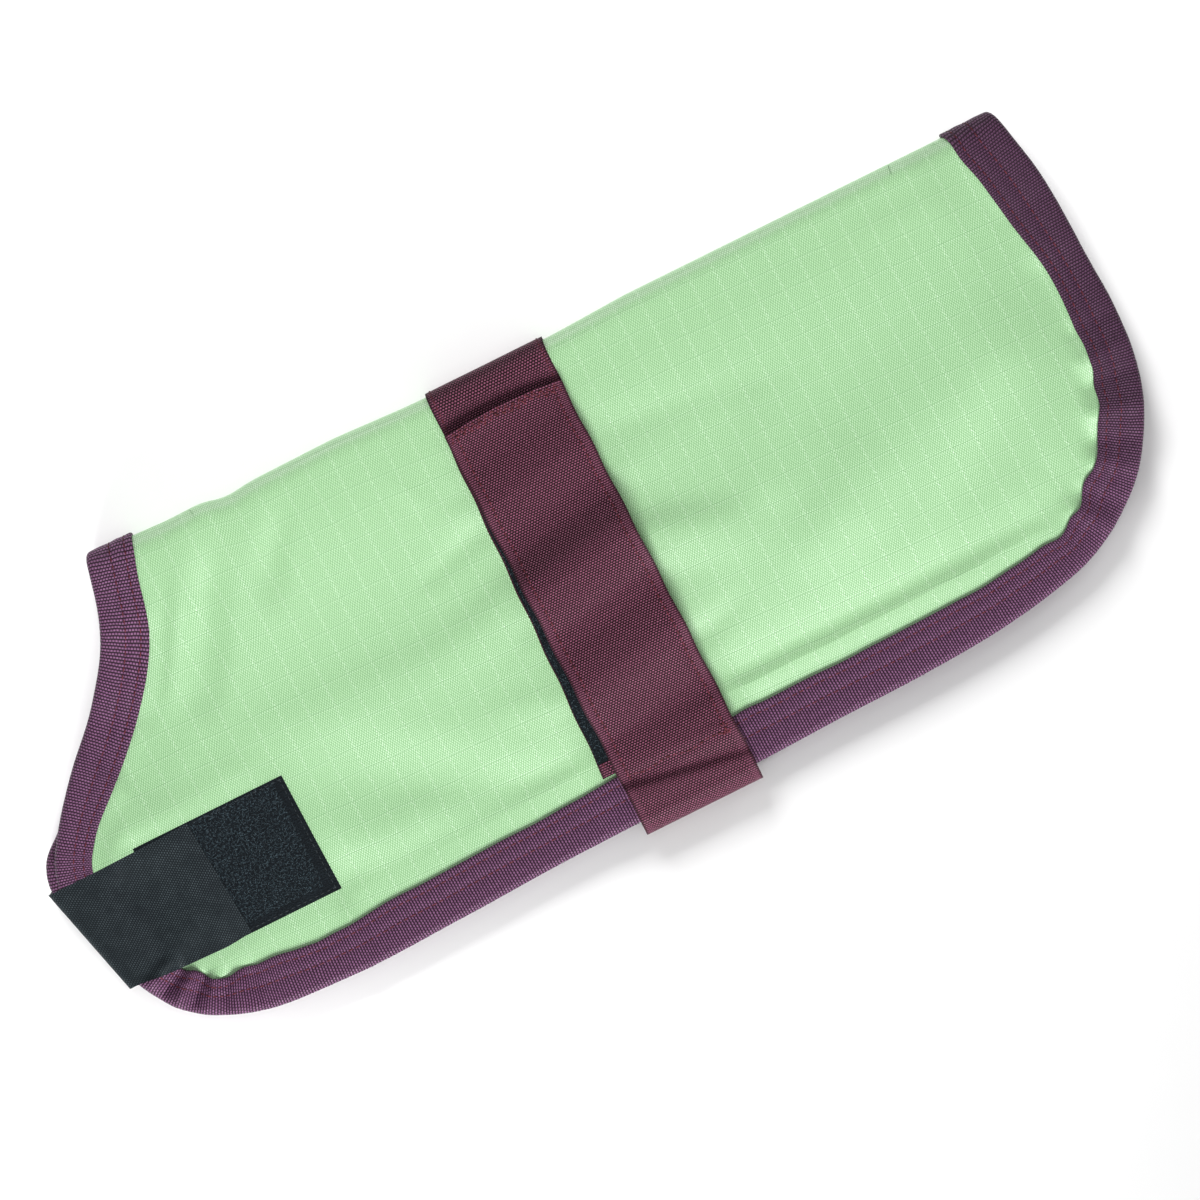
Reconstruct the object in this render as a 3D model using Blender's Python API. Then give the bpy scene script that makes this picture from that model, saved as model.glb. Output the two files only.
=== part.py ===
"""Padded dog blanket coat, folded in half along its back and laid on its far side.

The coat is drawn on its flat cut pattern: x runs along the back, from the neck (-) to the tail (+), and
s is the distance round the coat from the fold on the back, positive on the near half and negative on
the far half. place() lays a point of the pattern, with its height over the cloth's outer face, in the
folded coat. Every piece is a grid of such points, so what lies on a panel follows it, moved out.
In the folded coat X is along the back, Y is from the hem (-) to the fold (+), and Z is up from the
surface that the coat lies on. Sizes are in millimetres, and MM turns them into metres.
"""

import bmesh
import bpy
import numpy as np
from mathutils.bvhtree import BVHTree

MM = 0.001

# Points nearer than this, in metres, are one point, and an edge sharper than this is drawn sharp.
WELD = 0.00001
SHARP_ANGLE = np.radians(40.0)

# Cloth thicknesses and the gap kept between pieces that touch.
GAP = 0.3
WALL = 3.0
TAPE = 1.2
STEP = GAP + TAPE
LEAF_SLOT = 0.8

# The fold on the back: half its height, its bulge beyond the flat cloth, and the girth it takes up.
FOLD_Y = 97.8
FOLD_BULGE = 9.0
FOLD_GIRTH = 14.6
FOLD_FACE = 18.0
FOLD_FADE = 60.0

# The padding: its rise over the pressed margin, beside the hem and at the fold, and the ramp's length.
PUFF_HEM = 5.0
PUFF_FOLD = 1.2
PUFF_RAMP = 20.0
FOLD_LEVELS = 75.0
FLOOR_RAMP = 6.0

# The crease where the padding starts: its depth, half its width, and the margin at which it is full.
MARGIN_CREASE = 0.6
CREASE_HALF = 5.0
CREASE_MARGIN = 8.0

# Webbing of the back band and the belly strap, and the black strips.
WEBBING = 52.0
STRIP = 51.0
BAND_DIP = 1.2
ZONE_SOFT = 8.0
STRAP_ZONE = (-26.0, 37.0)

# The back band and its black strip: x of the centre line at the fold and at the hem, and their ends.
BAND_X = (7.0, 2.6)
FAR_BAND_X = (7.0, 8.2)
BAND_NEAR_END = 176.0
BAND_SEAM = 165.8
LOOP_STRIP_X = (7.0, 2.0)
LOOP_STRIP_ENDS = (52.0, 170.0)

# The belly strap: x of its centre line at the tip and at the hem, its turn under the hem, and the height
# of its inner face over the coat. Columns of STRAP_OVER: s and height.
STRAP_X = (6.2, 8.3)
STRAP_TURN_Y = -93.1
STRAP_TURN_BULGE = 8.0
STRAP_TURNS = np.radians(np.arange(72.0, -91.0, -18.0))
STRAP_ROW = 6.0
STRAP_OVER = [
    (23.8, 2.6),
    (34.0, 1.9),
    (45.0, 1.9),
    (51.0, 3.4),
    (66.0, 3.9),
    (84.0, 3.4),
    (104.0, 3.9),
    (124.0, 3.4),
    (146.0, 4.0),
    (166.0, 3.6),
    (172.0, 3.3),
    (180.0, 2.1),
    (196.5, 1.8),
]

# The chest patch, and the tab that is folded round both halves' chest corners: the two ends of its free
# edge and of its fold, in X and Y of the folded coat.
PATCH_LEFT = -205.0
PATCH_RIGHT = (-138.5, -137.0)
PATCH_S = (117.1, 168.5)
PATCH_GAP = 0.8
PATCH_POINTS = (11, 7)
TAB_END = np.array([(-180.8, -14.2), (-176.9, -65.0)])
TAB_FOLD = np.array([(-243.7, -15.4), (-231.0, -63.5)])
TAB_CORNER = 3.5
TAB_TURNS = np.radians((0.0, 22.5, 45.0, 67.5, 90.0))
TAB_LIFT = 1.2
TAB_UNDER_RUN = 35.0
TAB_POINTS = (9, 5)
TAB_ZONE_RUN = (-60.0, 50.0)
TAB_ZONE_ACROSS = (-18.0, 53.0)

# The edge of the near half, from the fold at the neck, round the chest and along the hem, to the fold at
# the tail. Columns: x, s, the binding's visible width, the pressed margin beside it, how far the far
# half's edge stands outside this one, where the grid line from here meets the fold, and the facets up
# to the next row.
EDGE = [
    (-170.0, 0.0, 20.8, 1.0, 0.0, -124.0, 3),
    (-172.0, 14.6, 20.4, 1.0, -0.5, -122.0, 2),
    (-179.2, 37.3, 19.6, 1.5, -1.2, -119.0, 2),
    (-194.2, 58.3, 19.0, 2.0, -1.5, -116.0, 2),
    (-214.2, 79.2, 17.0, 2.0, -1.0, -113.0, 1),
    (-229.2, 97.8, 15.4, 2.0, 0.5, -110.0, 1),
    (-236.2, 109.0, 15.2, 3.0, 4.0, -108.5, 1),
    (-238.7, 118.1, 15.0, 3.0, 4.0, -107.0, 1),
    (-238.4, 129.8, 15.0, 3.0, 0.8, -105.0, 1),
    (-235.6, 142.8, 15.0, 3.0, -0.5, -103.0, 1),
    (-231.9, 155.0, 15.0, 3.0, -1.2, -101.0, 1),
    (-227.4, 166.8, 15.0, 3.0, -1.5, -99.0, 1),
    (-216.3, 183.8, 15.0, 4.0, -1.5, -96.0, 1),
    (-207.9, 190.2, 14.6, 5.0, -1.5, -93.0, 1),
    (-193.0, 196.8, 17.6, 7.0, -1.5, -88.0, 2),
    (-151.2, 201.8, 18.6, 8.5, -1.5, -78.0, 2),
    (-100.0, 200.9, 19.8, 8.5, -1.5, -62.0, 2),
    (-49.2, 198.8, 19.6, 8.5, -1.5, -44.0, 1),
    (-34.0, 198.5, 19.8, 8.5, -1.5, -34.0, 1),
    (-26.0, 198.3, 20.2, 8.5, -1.5, -26.0, 2),
    (37.0, 197.6, 20.8, 8.5, -1.5, 37.0, 1),
    (45.0, 197.4, 20.8, 8.5, -1.5, 45.0, 1),
    (70.8, 196.5, 20.4, 8.5, -1.5, 64.0, 2),
    (110.8, 195.6, 19.8, 8.5, -1.5, 94.0, 2),
    (150.8, 192.6, 18.6, 8.0, -1.5, 120.0, 1),
    (170.8, 189.3, 17.8, 7.0, -1.5, 132.0, 1),
    (190.8, 184.0, 16.8, 5.0, -1.5, 142.0, 1),
    (210.8, 172.6, 17.4, 3.0, -1.5, 150.0, 1),
    (222.0, 162.8, 17.6, 2.0, -1.5, 155.0, 1),
    (230.8, 151.1, 17.6, 1.0, -1.5, 160.0, 1),
    (240.8, 129.5, 17.4, 1.0, -1.5, 166.0, 1),
    (244.8, 99.8, 18.6, 1.0, -1.5, 172.0, 2),
    (243.8, 74.8, 17.2, 1.0, -1.5, 178.0, 2),
    (240.8, 32.8, 21.6, 1.0, -1.0, 183.0, 2),
    (237.0, 14.6, 22.4, 1.0, -0.5, 186.0, 3),
    (234.6, 0.0, 21.0, 1.0, 0.0, 188.0, 0),
]
BINDING_JOIN_ROW = 9

# The fold's outline seen from above, a little uneven along the back. Columns: x and y.
FOLD_LINE = [
    (-175.0, 99.6),
    (-150.0, 99.2),
    (-134.0, 98.4),
    (-119.0, 98.7),
    (-109.0, 96.2),
    (-97.0, 97.6),
    (-60.0, 98.1),
    (-26.0, 96.4),
    (5.5, 96.2),
    (37.0, 96.3),
    (70.0, 97.8),
    (240.0, 97.8),
]

# The soft folds fade out this near the patch, and over this length from the fold on the back.
PATCH_SOFT = 12.0
FOLDS_START = 20.0

# The largest soft folds of the near half. Columns: x and s of one end, x and s of the other end, height
# (minus for a trough) and half its width.
FOLDS = [
    (-128.0, 16.0, -152.0, 68.0, 1.2, 11.0),
    (-98.0, 12.0, -108.0, 42.0, 0.9, 9.0),
    (-144.0, 80.0, -44.0, 96.0, 1.0, 16.0),
    (-114.0, 140.0, -56.0, 160.0, -1.0, 14.0),
    (48.0, 54.0, 104.0, 66.0, -0.9, 12.0),
    (80.0, 68.0, 94.0, 112.0, -1.0, 12.0),
    (56.0, 150.0, 164.0, 118.0, 1.3, 20.0),
]

# A panel's grid runs from its edge inside the binding to the fold: rings round the edge, these far from
# the pressed margin, then rows at these shares of the rest, then at these shares of the fold's girth.
PANEL_EDGE = 2.7
PANEL_TUCK = 0.9
RINGS = (1.0, 8.0, 18.0)
BODY_ROWS = (0.25, 0.6)
FOLD_ROWS = (1.0, 0.667, 0.333, 0.0)

# The binding's section: a rounded nose over the cloth's edge, its wall there, and a slightly narrower
# inner limb.
NOSE = 2.7
NOSE_ANGLES = np.radians((90.0, 30.0, -30.0, -90.0))
NOSE_WALL = 2.1
INNER_LIMB_SHORT = 1.0
JOIN_GAP = 0.2

# The hidden layers stop short of the bindings' inner limbs, with a groove between the halves.
HIDDEN_START = 1.6
HIDDEN_GAP = 1.5
HIDDEN_GROOVE = 5.0


def smooth_step(t):
    """0 up to t = 0, 1 from t = 1, and a soft curve between them."""
    t = np.clip(t, 0.0, 1.0)
    return t * t * (3.0 - 2.0 * t)


def plateau(value, low, high, soft):
    """1 from low to high, falling to 0 within soft on each side."""
    return smooth_step((value - low) / soft + 1.0) * smooth_step((high - value) / soft + 1.0)


def run_through(rows, facets):
    """Points on a smooth curve through the rows, whose first two columns are x and s. It meets the fold
    squarely, because the row beyond each end is the mirror image of the row before it."""
    flip = np.where(np.arange(rows.shape[1]) == 1, -1.0, 1.0)
    rows = np.vstack([rows[1] * flip, rows, rows[-2] * flip])
    chord = np.hypot(*np.diff(rows[:, :2], axis=0).T)[:, None]
    slope = np.diff(rows, axis=0) / chord
    tangent = (slope[:-1] * chord[1:] + slope[1:] * chord[:-1]) / (chord[:-1] + chord[1:])
    points = []
    for i, count in enumerate(facets):
        t = np.arange(count)[:, None] / max(count, 1)
        points.append(
            rows[i + 1] * (2 * t**3 - 3 * t**2 + 1)
            + tangent[i] * chord[i + 1] * (t**3 - 2 * t**2 + t)
            + rows[i + 2] * (3 * t**2 - 2 * t**3)
            + tangent[min(i + 1, len(tangent) - 1)] * chord[i + 1] * (t**3 - t**2)
        )
    return np.vstack(points + [rows[-2][None]])


class HalfEdge:
    """The edge of one half: stations along it, their widths, and the direction into the cloth."""

    def __init__(self, side, finer=1):
        rows = np.array(EDGE)
        facets = rows[:, 6].astype(int) * finer
        self.x, self.s, self.tape, self.margin, outside, self.core = run_through(rows[:, :6], facets).T
        along_x, along_s = np.gradient(self.x), np.gradient(self.s)
        along_x[[0, -1]] = 0.0
        length = np.hypot(along_x, along_s)
        self.in_x, self.in_s = along_s / length, -along_x / length
        if side < 0:
            self.x = self.x - self.in_x * outside
            self.s = self.s - self.in_s * outside
        self.join = int(facets[:BINDING_JOIN_ROW].sum())


EDGES = {side: HalfEdge(side) for side in (1, -1)}
FINE_EDGES = {side: HalfEdge(side, 12) for side in (1, -1)}


def edge_state(side, x, s):
    """Distance from a half's edge, and the binding's and the margin's widths at its nearest point."""
    fine = FINE_EDGES[side]
    away = np.hypot(x[..., None] - fine.x, s[..., None] - fine.s)
    nearest = away.argmin(axis=-1)
    return away.min(axis=-1), fine.tape[nearest], fine.margin[nearest]


def leaf_y(x, s):
    """Y of the flat part of a half, at girth s from the fold."""
    dip = np.interp(x, *np.array(FOLD_LINE).T) - FOLD_Y
    dip = dip * (1.0 - smooth_step((s - FOLD_GIRTH) / FOLD_FADE))
    return FOLD_Y + dip - FOLD_BULGE - (s - FOLD_GIRTH)


def strap_zone(x):
    """1 across the width of the band and the strap."""
    return plateau(x, *STRAP_ZONE, ZONE_SOFT)


def tab_directions():
    """Unit vectors: down the tab's fold, out of the coat, and along the run under the coat, which is
    the run over it mirrored in the fold."""
    down = (TAB_FOLD[1] - TAB_FOLD[0]) / np.hypot(*(TAB_FOLD[1] - TAB_FOLD[0]))
    out = np.array([down[1], -down[0]])
    under = np.array([1.0 - 2.0 * down[0] ** 2, -2.0 * down[0] * down[1]])
    return down, out, under


def tab_zone(x, s):
    """1 over the tab's run under the coat."""
    _, _, under = tab_directions()
    from_x, from_y = x - TAB_FOLD[0, 0], leaf_y(x, s) - TAB_FOLD[0, 1]
    run = from_x * under[0] + from_y * under[1]
    across = from_x * under[1] - from_y * under[0]
    return plateau(run, *TAB_ZONE_RUN, ZONE_SOFT) * plateau(across, *TAB_ZONE_ACROSS, ZONE_SOFT)


def under_zone(x, s):
    """1 where webbing or elastic runs under the coat."""
    return np.maximum(strap_zone(x), tab_zone(x, s))


def soft_folds(x, s):
    """Height added by the largest soft folds."""
    height = np.zeros(np.shape(x))
    for x0, s0, x1, s1, rise, half_width in FOLDS:
        run_x, run_s = x1 - x0, s1 - s0
        t = np.clip(((x - x0) * run_x + (s - s0) * run_s) / (run_x**2 + run_s**2), 0.0, 1.0)
        away = np.hypot(x - x0 - t * run_x, s - s0 - t * run_s) / half_width
        height += rise * (1.0 - smooth_step(away))
    return height


def near_height(x, s):
    """Height of the near half's outer face over the surface."""
    distance, tape, margin = edge_state(1, x, s)
    inside = distance - tape - margin
    from_fold = np.maximum(s - FOLD_GIRTH, 0.0)
    ramp = smooth_step(inside / PUFF_RAMP)
    hem_face = 2.0 * (WALL + 2.0 * STEP) + LEAF_SLOT - STEP
    pressed = FOLD_FACE + (hem_face - FOLD_FACE) * smooth_step(from_fold / FOLD_LEVELS)
    puff = PUFF_FOLD + (PUFF_HEM - PUFF_FOLD) * smooth_step(from_fold / FOLD_LEVELS)
    crease = 1.0 - smooth_step(np.abs(inside) / CREASE_HALF)
    crease = MARGIN_CREASE * crease * smooth_step(margin / CREASE_MARGIN)
    lift = STEP * under_zone(x, s) * (1.0 - ramp) * smooth_step(from_fold / FOLD_LEVELS)
    under_patch = plateau(x, PATCH_LEFT, PATCH_RIGHT[0], PATCH_SOFT) * plateau(s, *PATCH_S, PATCH_SOFT)
    free = ramp * (1.0 - strap_zone(x)) * (1.0 - under_patch) * smooth_step(from_fold / FOLDS_START)
    dip = BAND_DIP * strap_zone(x) * ramp
    return pressed + puff * ramp - crease + lift - dip + soft_folds(x, s) * free


def far_height(x, s):
    """Height of the far half's outer face: on the surface, but for what runs under it."""
    distance, tape, _ = edge_state(-1, x, s)
    over_tape = 1.0 - smooth_step((distance - tape - 1.0) / FLOOR_RAMP)
    return STEP * (over_tape + under_zone(x, s))


def place(x, s, over):
    """The point this far over the cloth's outer face, at x and s of the pattern."""
    x, s, over = np.broadcast_arrays(*(np.asarray(value, float) for value in (x, s, over)))
    near, far = near_height(x, np.abs(s)), far_height(x, np.abs(s))
    y = leaf_y(x, np.maximum(np.abs(s), FOLD_GIRTH))
    turn = np.clip(s / FOLD_GIRTH, -1.0, 1.0) * np.pi / 2.0
    round_y = y + (FOLD_BULGE + over) * np.cos(turn)
    round_z = (near + far) / 2.0 + ((near - far) / 2.0 + over) * np.sin(turn)
    flat_z = np.where(s > 0.0, near + over, far - over)
    on_fold = np.abs(s) < FOLD_GIRTH
    return np.stack([x, np.where(on_fold, round_y, y), np.where(on_fold, round_z, flat_z)], axis=-1)


def material(name, colour, roughness):
    made = bpy.data.materials.new(name)
    made.use_nodes = True
    shader = made.node_tree.nodes["Principled BSDF"]
    shader.inputs["Base Color"].default_value = (*colour, 1.0)
    shader.inputs["Roughness"].default_value = roughness
    made.diffuse_color = (*colour, 1.0)
    return made


def solid(name, points, faces, cloth):
    """A closed object from points in millimetres. Points that coincide are welded, and every quad is cut
    along its shorter diagonal, so that the facets of pieces that lie together are parallel."""
    mesh = bpy.data.meshes.new(name)
    mesh.from_pydata((np.asarray(points) * MM).tolist(), [], faces)
    form = bmesh.new()
    form.from_mesh(mesh)
    bmesh.ops.remove_doubles(form, verts=form.verts, dist=WELD)
    bmesh.ops.recalc_face_normals(form, faces=form.faces)
    bmesh.ops.triangulate(form, faces=form.faces, quad_method="SHORT_EDGE")
    form.to_mesh(mesh)
    form.free()
    mesh.shade_smooth()
    mesh.set_sharp_from_angle(angle=SHARP_ANGLE)
    mesh.materials.append(cloth)
    made = bpy.data.objects.new(name, mesh)
    bpy.context.scene.collection.objects.link(made)
    return made


def grid_faces(rows, columns, start=0):
    """Quads between the points of a grid, which are held row by row."""
    faces = []
    for i in range(rows - 1):
        for j in range(columns - 1):
            a = start + i * columns + j
            faces.append((a, a + 1, a + columns + 1, a + columns))
    return faces


def wall(name, inner, outer, cloth):
    """A cloth wall between two grids of points, closed round its edges."""
    rows, columns = outer.shape[:2]
    count = rows * columns
    faces = grid_faces(rows, columns) + grid_faces(rows, columns, count)
    index = np.arange(count).reshape(rows, columns)
    rim = [*index[:, 0], *index[-1, 1:], *index[-2::-1, -1], *index[0, -2:0:-1]]
    for a, b in zip(rim, rim[1:] + rim[:1]):
        faces.append((a, b, b + count, a + count))
    points = np.vstack([inner.reshape(-1, 3), outer.reshape(-1, 3)])
    return solid(name, points, [tuple(int(i) for i in face) for face in faces], cloth)


def rest_on(grid, below, gap):
    """The grid's points dropped onto the object below them and lifted by the gap."""
    mesh = below.data
    tree = BVHTree.FromPolygons([v.co for v in mesh.vertices], [p.vertices for p in mesh.polygons])
    rested = grid.copy()
    for spot in rested.reshape(-1, 3):
        hit = tree.ray_cast((*(spot[:2] * MM), 1.0), (0.0, 0.0, -1.0))[0]
        spot[2] = hit.z / MM + gap
    return rested


def strip_grid(x_at, s_rows, width, columns, over):
    """A grid over the coat: rows at these girths, columns across the width about the centre x_at(s)."""
    s = np.asarray(s_rows, float)[:, None]
    across = np.linspace(-0.5, 0.5, columns)[None, :] * width
    return place(x_at(s) + across, s, np.asarray(over, float).reshape(-1, 1))


def panel_grid(side, starts, over):
    """One half's grid at this height over its face: a row for each station of the edge, running in from
    the starting distances, over the rings and down to the fold."""
    edge = EDGES[side]
    rings = starts + [edge.tape + edge.margin + ring for ring in RINGS]
    distance = np.stack([np.broadcast_to(ring, edge.x.shape) for ring in rings], axis=1)
    x = edge.x[:, None] + edge.in_x[:, None] * distance
    s = edge.s[:, None] + edge.in_s[:, None] * distance
    last_x, last_s, core = x[:, -1:], s[:, -1:], edge.core[:, None]
    fold_s = np.minimum(last_s, FOLD_GIRTH * np.array(FOLD_ROWS)[None, :])
    fold_x = np.broadcast_to(core, fold_s.shape)
    share = np.array(BODY_ROWS)[None, :]
    body_x, body_s = last_x + (core - last_x) * share, last_s + (fold_s[:, :1] - last_s) * share
    return place(np.hstack([x, body_x, fold_x]), np.hstack([s, body_s, fold_s]) * side, over)


def coat_shell(cloth):
    """The one cut piece of the coat: both halves, joined over the fold."""
    tuck = [PANEL_EDGE, EDGES[1].tape + PANEL_TUCK]
    grids = [panel_grid(side, tuck, over) for over in (0.0, -WALL) for side in (1, -1)]
    rows, columns = grids[0].shape[:2]
    count = rows * columns
    faces = []
    for i in range(len(grids)):
        faces += grid_faces(rows, columns, i * count)
    for half in (0, 1):
        for i in range(rows - 1):
            a = half * count + i * columns
            faces.append((a, a + columns, a + columns + 2 * count, a + 2 * count))
    return solid("coat_shell", np.vstack([grid.reshape(-1, 3) for grid in grids]), faces, cloth)


def folded_layers(cloth):
    """Wadding and lining of both halves, as one rounded form with a groove between the halves."""
    start = [EDGES[1].tape + HIDDEN_START]
    near, far = (panel_grid(side, start, -WALL - HIDDEN_GAP) for side in (1, -1))
    rows, columns = near.shape[:2]
    count = rows * columns
    faces = grid_faces(rows, columns) + grid_faces(rows, columns, count)
    middle = (near[:, 0] + far[:, 0]) / 2.0
    inward = (near[:, 1] + far[:, 1]) / 2.0 - middle
    groove = middle + inward * HIDDEN_GROOVE / np.maximum(np.linalg.norm(inward, axis=1), 1.0)[:, None]
    groove[[0, -1]] = middle[[0, -1]]
    for i in range(rows - 1):
        a, b = i * columns, (i + 1) * columns
        c = 2 * count + i
        faces.append((a, b, c + 1, c))
        faces.append((a + count, b + count, c + 1, c))
    points = np.vstack([near.reshape(-1, 3), far.reshape(-1, 3), groove])
    return solid("folded_layers", points, faces, cloth)


def binding_section(edge, station, shift):
    """Points round the binding's section at a station: distance inside the edge, and height."""
    tape = edge.tape[station]
    rise, turn = np.sin(NOSE_ANGLES), 1.0 - np.cos(NOSE_ANGLES)
    middle, half = -WALL / 2.0, WALL / 2.0
    outer_d = [tape, *(NOSE * turn), tape - INNER_LIMB_SHORT]
    outer_over = [STEP, *(middle + (half + STEP) * rise), -WALL - STEP]
    inner_d = [tape, NOSE_WALL, NOSE_WALL, tape - INNER_LIMB_SHORT]
    inner_over = [GAP, GAP, -WALL - GAP, -WALL - GAP]
    distance = np.array(outer_d + inner_d[::-1])
    over = np.array(outer_over + inner_over[::-1])
    x = edge.x[station] + edge.in_x[station] * distance - edge.in_s[station] * shift
    s = edge.s[station] + edge.in_s[station] * distance + edge.in_x[station] * shift
    return x, s, over


def binding(name, near_stations, far_stations, shift, cloth):
    """A tape folded over the cloth's edge, along the near stations and then the far ones. Its two ends
    are shifted along the edge, to leave a gap at the join."""
    route = [(1, station) for station in near_stations] + [(-1, station) for station in far_stations]
    sections = []
    for i, (side, station) in enumerate(route):
        x, s, over = binding_section(EDGES[side], station, shift if i in (0, len(route) - 1) else 0.0)
        sections.append(place(x, s * side, over))
    around = len(sections[0])
    faces = [tuple(range(around)), tuple(range((len(sections) - 1) * around, len(sections) * around))]
    for i in range(len(sections) - 1):
        for j in range(around):
            k = (j + 1) % around
            faces.append((i * around + j, i * around + k, (i + 1) * around + k, (i + 1) * around + j))
    return solid(name, np.vstack(sections), faces, cloth)


def neck_binding(cloth):
    join = EDGES[1].join
    return binding("neck_binding", range(join, -1, -1), range(1, join + 1), -JOIN_GAP, cloth)


def hem_binding(cloth):
    join, last = EDGES[1].join, len(EDGES[1].x) - 1
    return binding("hem_binding", range(join, last + 1), range(last - 1, join - 1, -1), JOIN_GAP, cloth)


def band_x(s):
    """Centre line of the back band, which is sewn on slightly askew."""
    share = np.abs(s) / BAND_NEAR_END
    near = BAND_X[0] + (BAND_X[1] - BAND_X[0]) * share
    far = FAR_BAND_X[0] + (FAR_BAND_X[1] - FAR_BAND_X[0]) * share
    return np.where(s > 0.0, near, far)


def under_band_rows():
    """Girths of the shell's own rows down the middle of the band, from the hem's margin to the fold."""
    edge = EDGES[1]
    station = np.abs(edge.x - np.mean(STRAP_ZONE)).argmin()
    rings = edge.s[station] - edge.tape[station] - edge.margin[station] - np.array(RINGS)
    body = rings[-1] + (FOLD_GIRTH - rings[-1]) * np.array(BODY_ROWS)
    return [*rings, *body, *(FOLD_GIRTH * share for share in FOLD_ROWS)]


def back_band(cloth):
    """Webbing sewn across the back, from the near hem's binding to the seam of the belly strap."""
    near_rows = [BAND_NEAR_END, *under_band_rows()]
    far_rows = [-FOLD_GIRTH * share for share in FOLD_ROWS[-2::-1]]
    rows = near_rows + far_rows + [-BAND_SEAM]
    inner = strip_grid(band_x, rows, WEBBING, 3, np.full(len(rows), GAP))
    outer = strip_grid(band_x, rows, WEBBING, 3, np.full(len(rows), STEP))
    return wall("back_band", inner, outer, cloth)


def loop_strip_x(s):
    return LOOP_STRIP_X[0] + (LOOP_STRIP_X[1] - LOOP_STRIP_X[0]) * s / BAND_NEAR_END


def strap_loop_strip(cloth):
    """Black loop tape sewn on the band, under the strap."""
    inside = [s for s in under_band_rows()[::-1] if LOOP_STRIP_ENDS[0] < s < LOOP_STRIP_ENDS[1]]
    rows = [LOOP_STRIP_ENDS[0], *inside, LOOP_STRIP_ENDS[1]]
    inner = strip_grid(loop_strip_x, rows, STRIP, 3, np.full(len(rows), STEP + GAP))
    outer = strip_grid(loop_strip_x, rows, STRIP, 3, np.full(len(rows), 2.0 * STEP))
    return wall("strap_loop_strip", inner, outer, cloth)


def strap_x(s):
    """Centre line of the strap's run over the near half."""
    start, end = STRAP_OVER[0][0], STRAP_OVER[-1][0]
    return STRAP_X[0] + (STRAP_X[1] - STRAP_X[0]) * (s - start) / (end - start)


def belly_strap(cloth):
    """The strap: flat under the coat from its seam, round the hems, and up over the near half."""
    table_s, table_over = np.array(STRAP_OVER).T
    rows = np.unique(np.concatenate([table_s, np.arange(*table_s[[0, -1]], STRAP_ROW)]))
    over = np.interp(rows, table_s, table_over)
    grids = []
    for thickness in (0.0, TAPE):
        near = strip_grid(strap_x, rows, WEBBING, 3, over + thickness)
        top_z = near[-1, :, 2]
        floor_z = TAPE - thickness
        middle, half = (top_z + floor_z) / 2.0, (top_z - floor_z) / 2.0
        bulge = STRAP_TURN_BULGE - TAPE + thickness
        turn = []
        for angle in STRAP_TURNS:
            y = np.full(3, STRAP_TURN_Y - bulge * np.cos(angle))
            turn.append(np.stack([near[-1, :, 0], y, middle + half * np.sin(angle)], axis=-1))
        seam_y = leaf_y(near[-1, :, 0], np.full(3, BAND_SEAM + GAP))
        seam = np.stack([near[-1, :, 0], seam_y, np.full(3, floor_z)], axis=-1)
        grids.append(np.concatenate([near, np.array(turn), seam[None]]))
    return wall("belly_strap", grids[0], grids[1], cloth)


def chest_loop_patch(shell, cloth):
    """Loop tape sewn flat on the near chest corner."""
    across = np.linspace(0.0, 1.0, PATCH_POINTS[0])[:, None]
    down = np.linspace(0.0, 1.0, PATCH_POINTS[1])[None, :]
    s = PATCH_S[0] + (PATCH_S[1] - PATCH_S[0]) * down
    right = PATCH_RIGHT[0] + (PATCH_RIGHT[1] - PATCH_RIGHT[0]) * down
    x = PATCH_LEFT + (right - PATCH_LEFT) * across
    inner = rest_on(place(x, s, 0.0), shell, PATCH_GAP)
    return wall("chest_loop_patch", inner, inner + np.array([0.0, 0.0, TAPE]), cloth)


def tab_side_profile(thickness, top_z):
    """The tab's way down the side of the coat and under it: distance outside the fold, height, and the
    length travelled, for a face this far over the inner one. It turns two round corners."""
    radius = TAB_CORNER - TAPE + thickness
    quarter = (TAB_CORNER - TAPE / 2.0) * np.pi / 2.0
    top_centre, low_centre = top_z + TAPE - TAB_CORNER, TAB_CORNER
    down = quarter + top_centre - low_centre
    rows = []
    for turn in TAB_TURNS:
        outside, rise = radius * np.sin(turn) - TAB_CORNER, radius * np.cos(turn)
        rows.append((outside, top_centre + rise, quarter * turn / TAB_TURNS[-1]))
    for turn in TAB_TURNS:
        outside, fall = radius * np.cos(turn) - TAB_CORNER, radius * np.sin(turn)
        rows.append((outside, low_centre - fall, down + quarter * turn / TAB_TURNS[-1]))
    for run in (TAB_UNDER_RUN / 2.0, TAB_UNDER_RUN):
        rows.append((-TAB_CORNER - run, TAPE - thickness, down + quarter + run))
    return rows


def chest_tab(cloth):
    """Elastic sewn under the far chest corner, folded obliquely round both halves and laid on the patch."""
    down, out, _ = tab_directions()
    lean = -down[0] / -out[0]
    columns = np.linspace(0.0, 1.0, TAB_POINTS[1])
    grids = []
    for thickness in (0.0, TAPE):
        sides = []
        for share in columns:
            end = TAB_END[0] + (TAB_END[1] - TAB_END[0]) * share
            fold = TAB_FOLD[0] + (TAB_FOLD[1] - TAB_FOLD[0]) * share
            start = fold - out * TAB_CORNER - down * lean * TAB_CORNER
            line = end + (start - end) * np.linspace(0.0, 1.0, TAB_POINTS[0])[:, None]
            s = FOLD_Y - FOLD_BULGE + FOLD_GIRTH - line[:, 1]
            run = place(line[:, 0], s, STEP + TAB_LIFT + thickness)
            top_z = run[-1, 2] - thickness
            side = []
            for outside, height, travelled in tab_side_profile(thickness, top_z):
                spot = fold + out * outside + down * lean * (travelled - TAB_CORNER)
                side.append((*spot, height))
            sides.append(np.vstack([run[:-1], side]))
        grids.append(np.stack(sides, axis=1))
    return wall("chest_tab", grids[0], grids[1], cloth)


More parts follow.
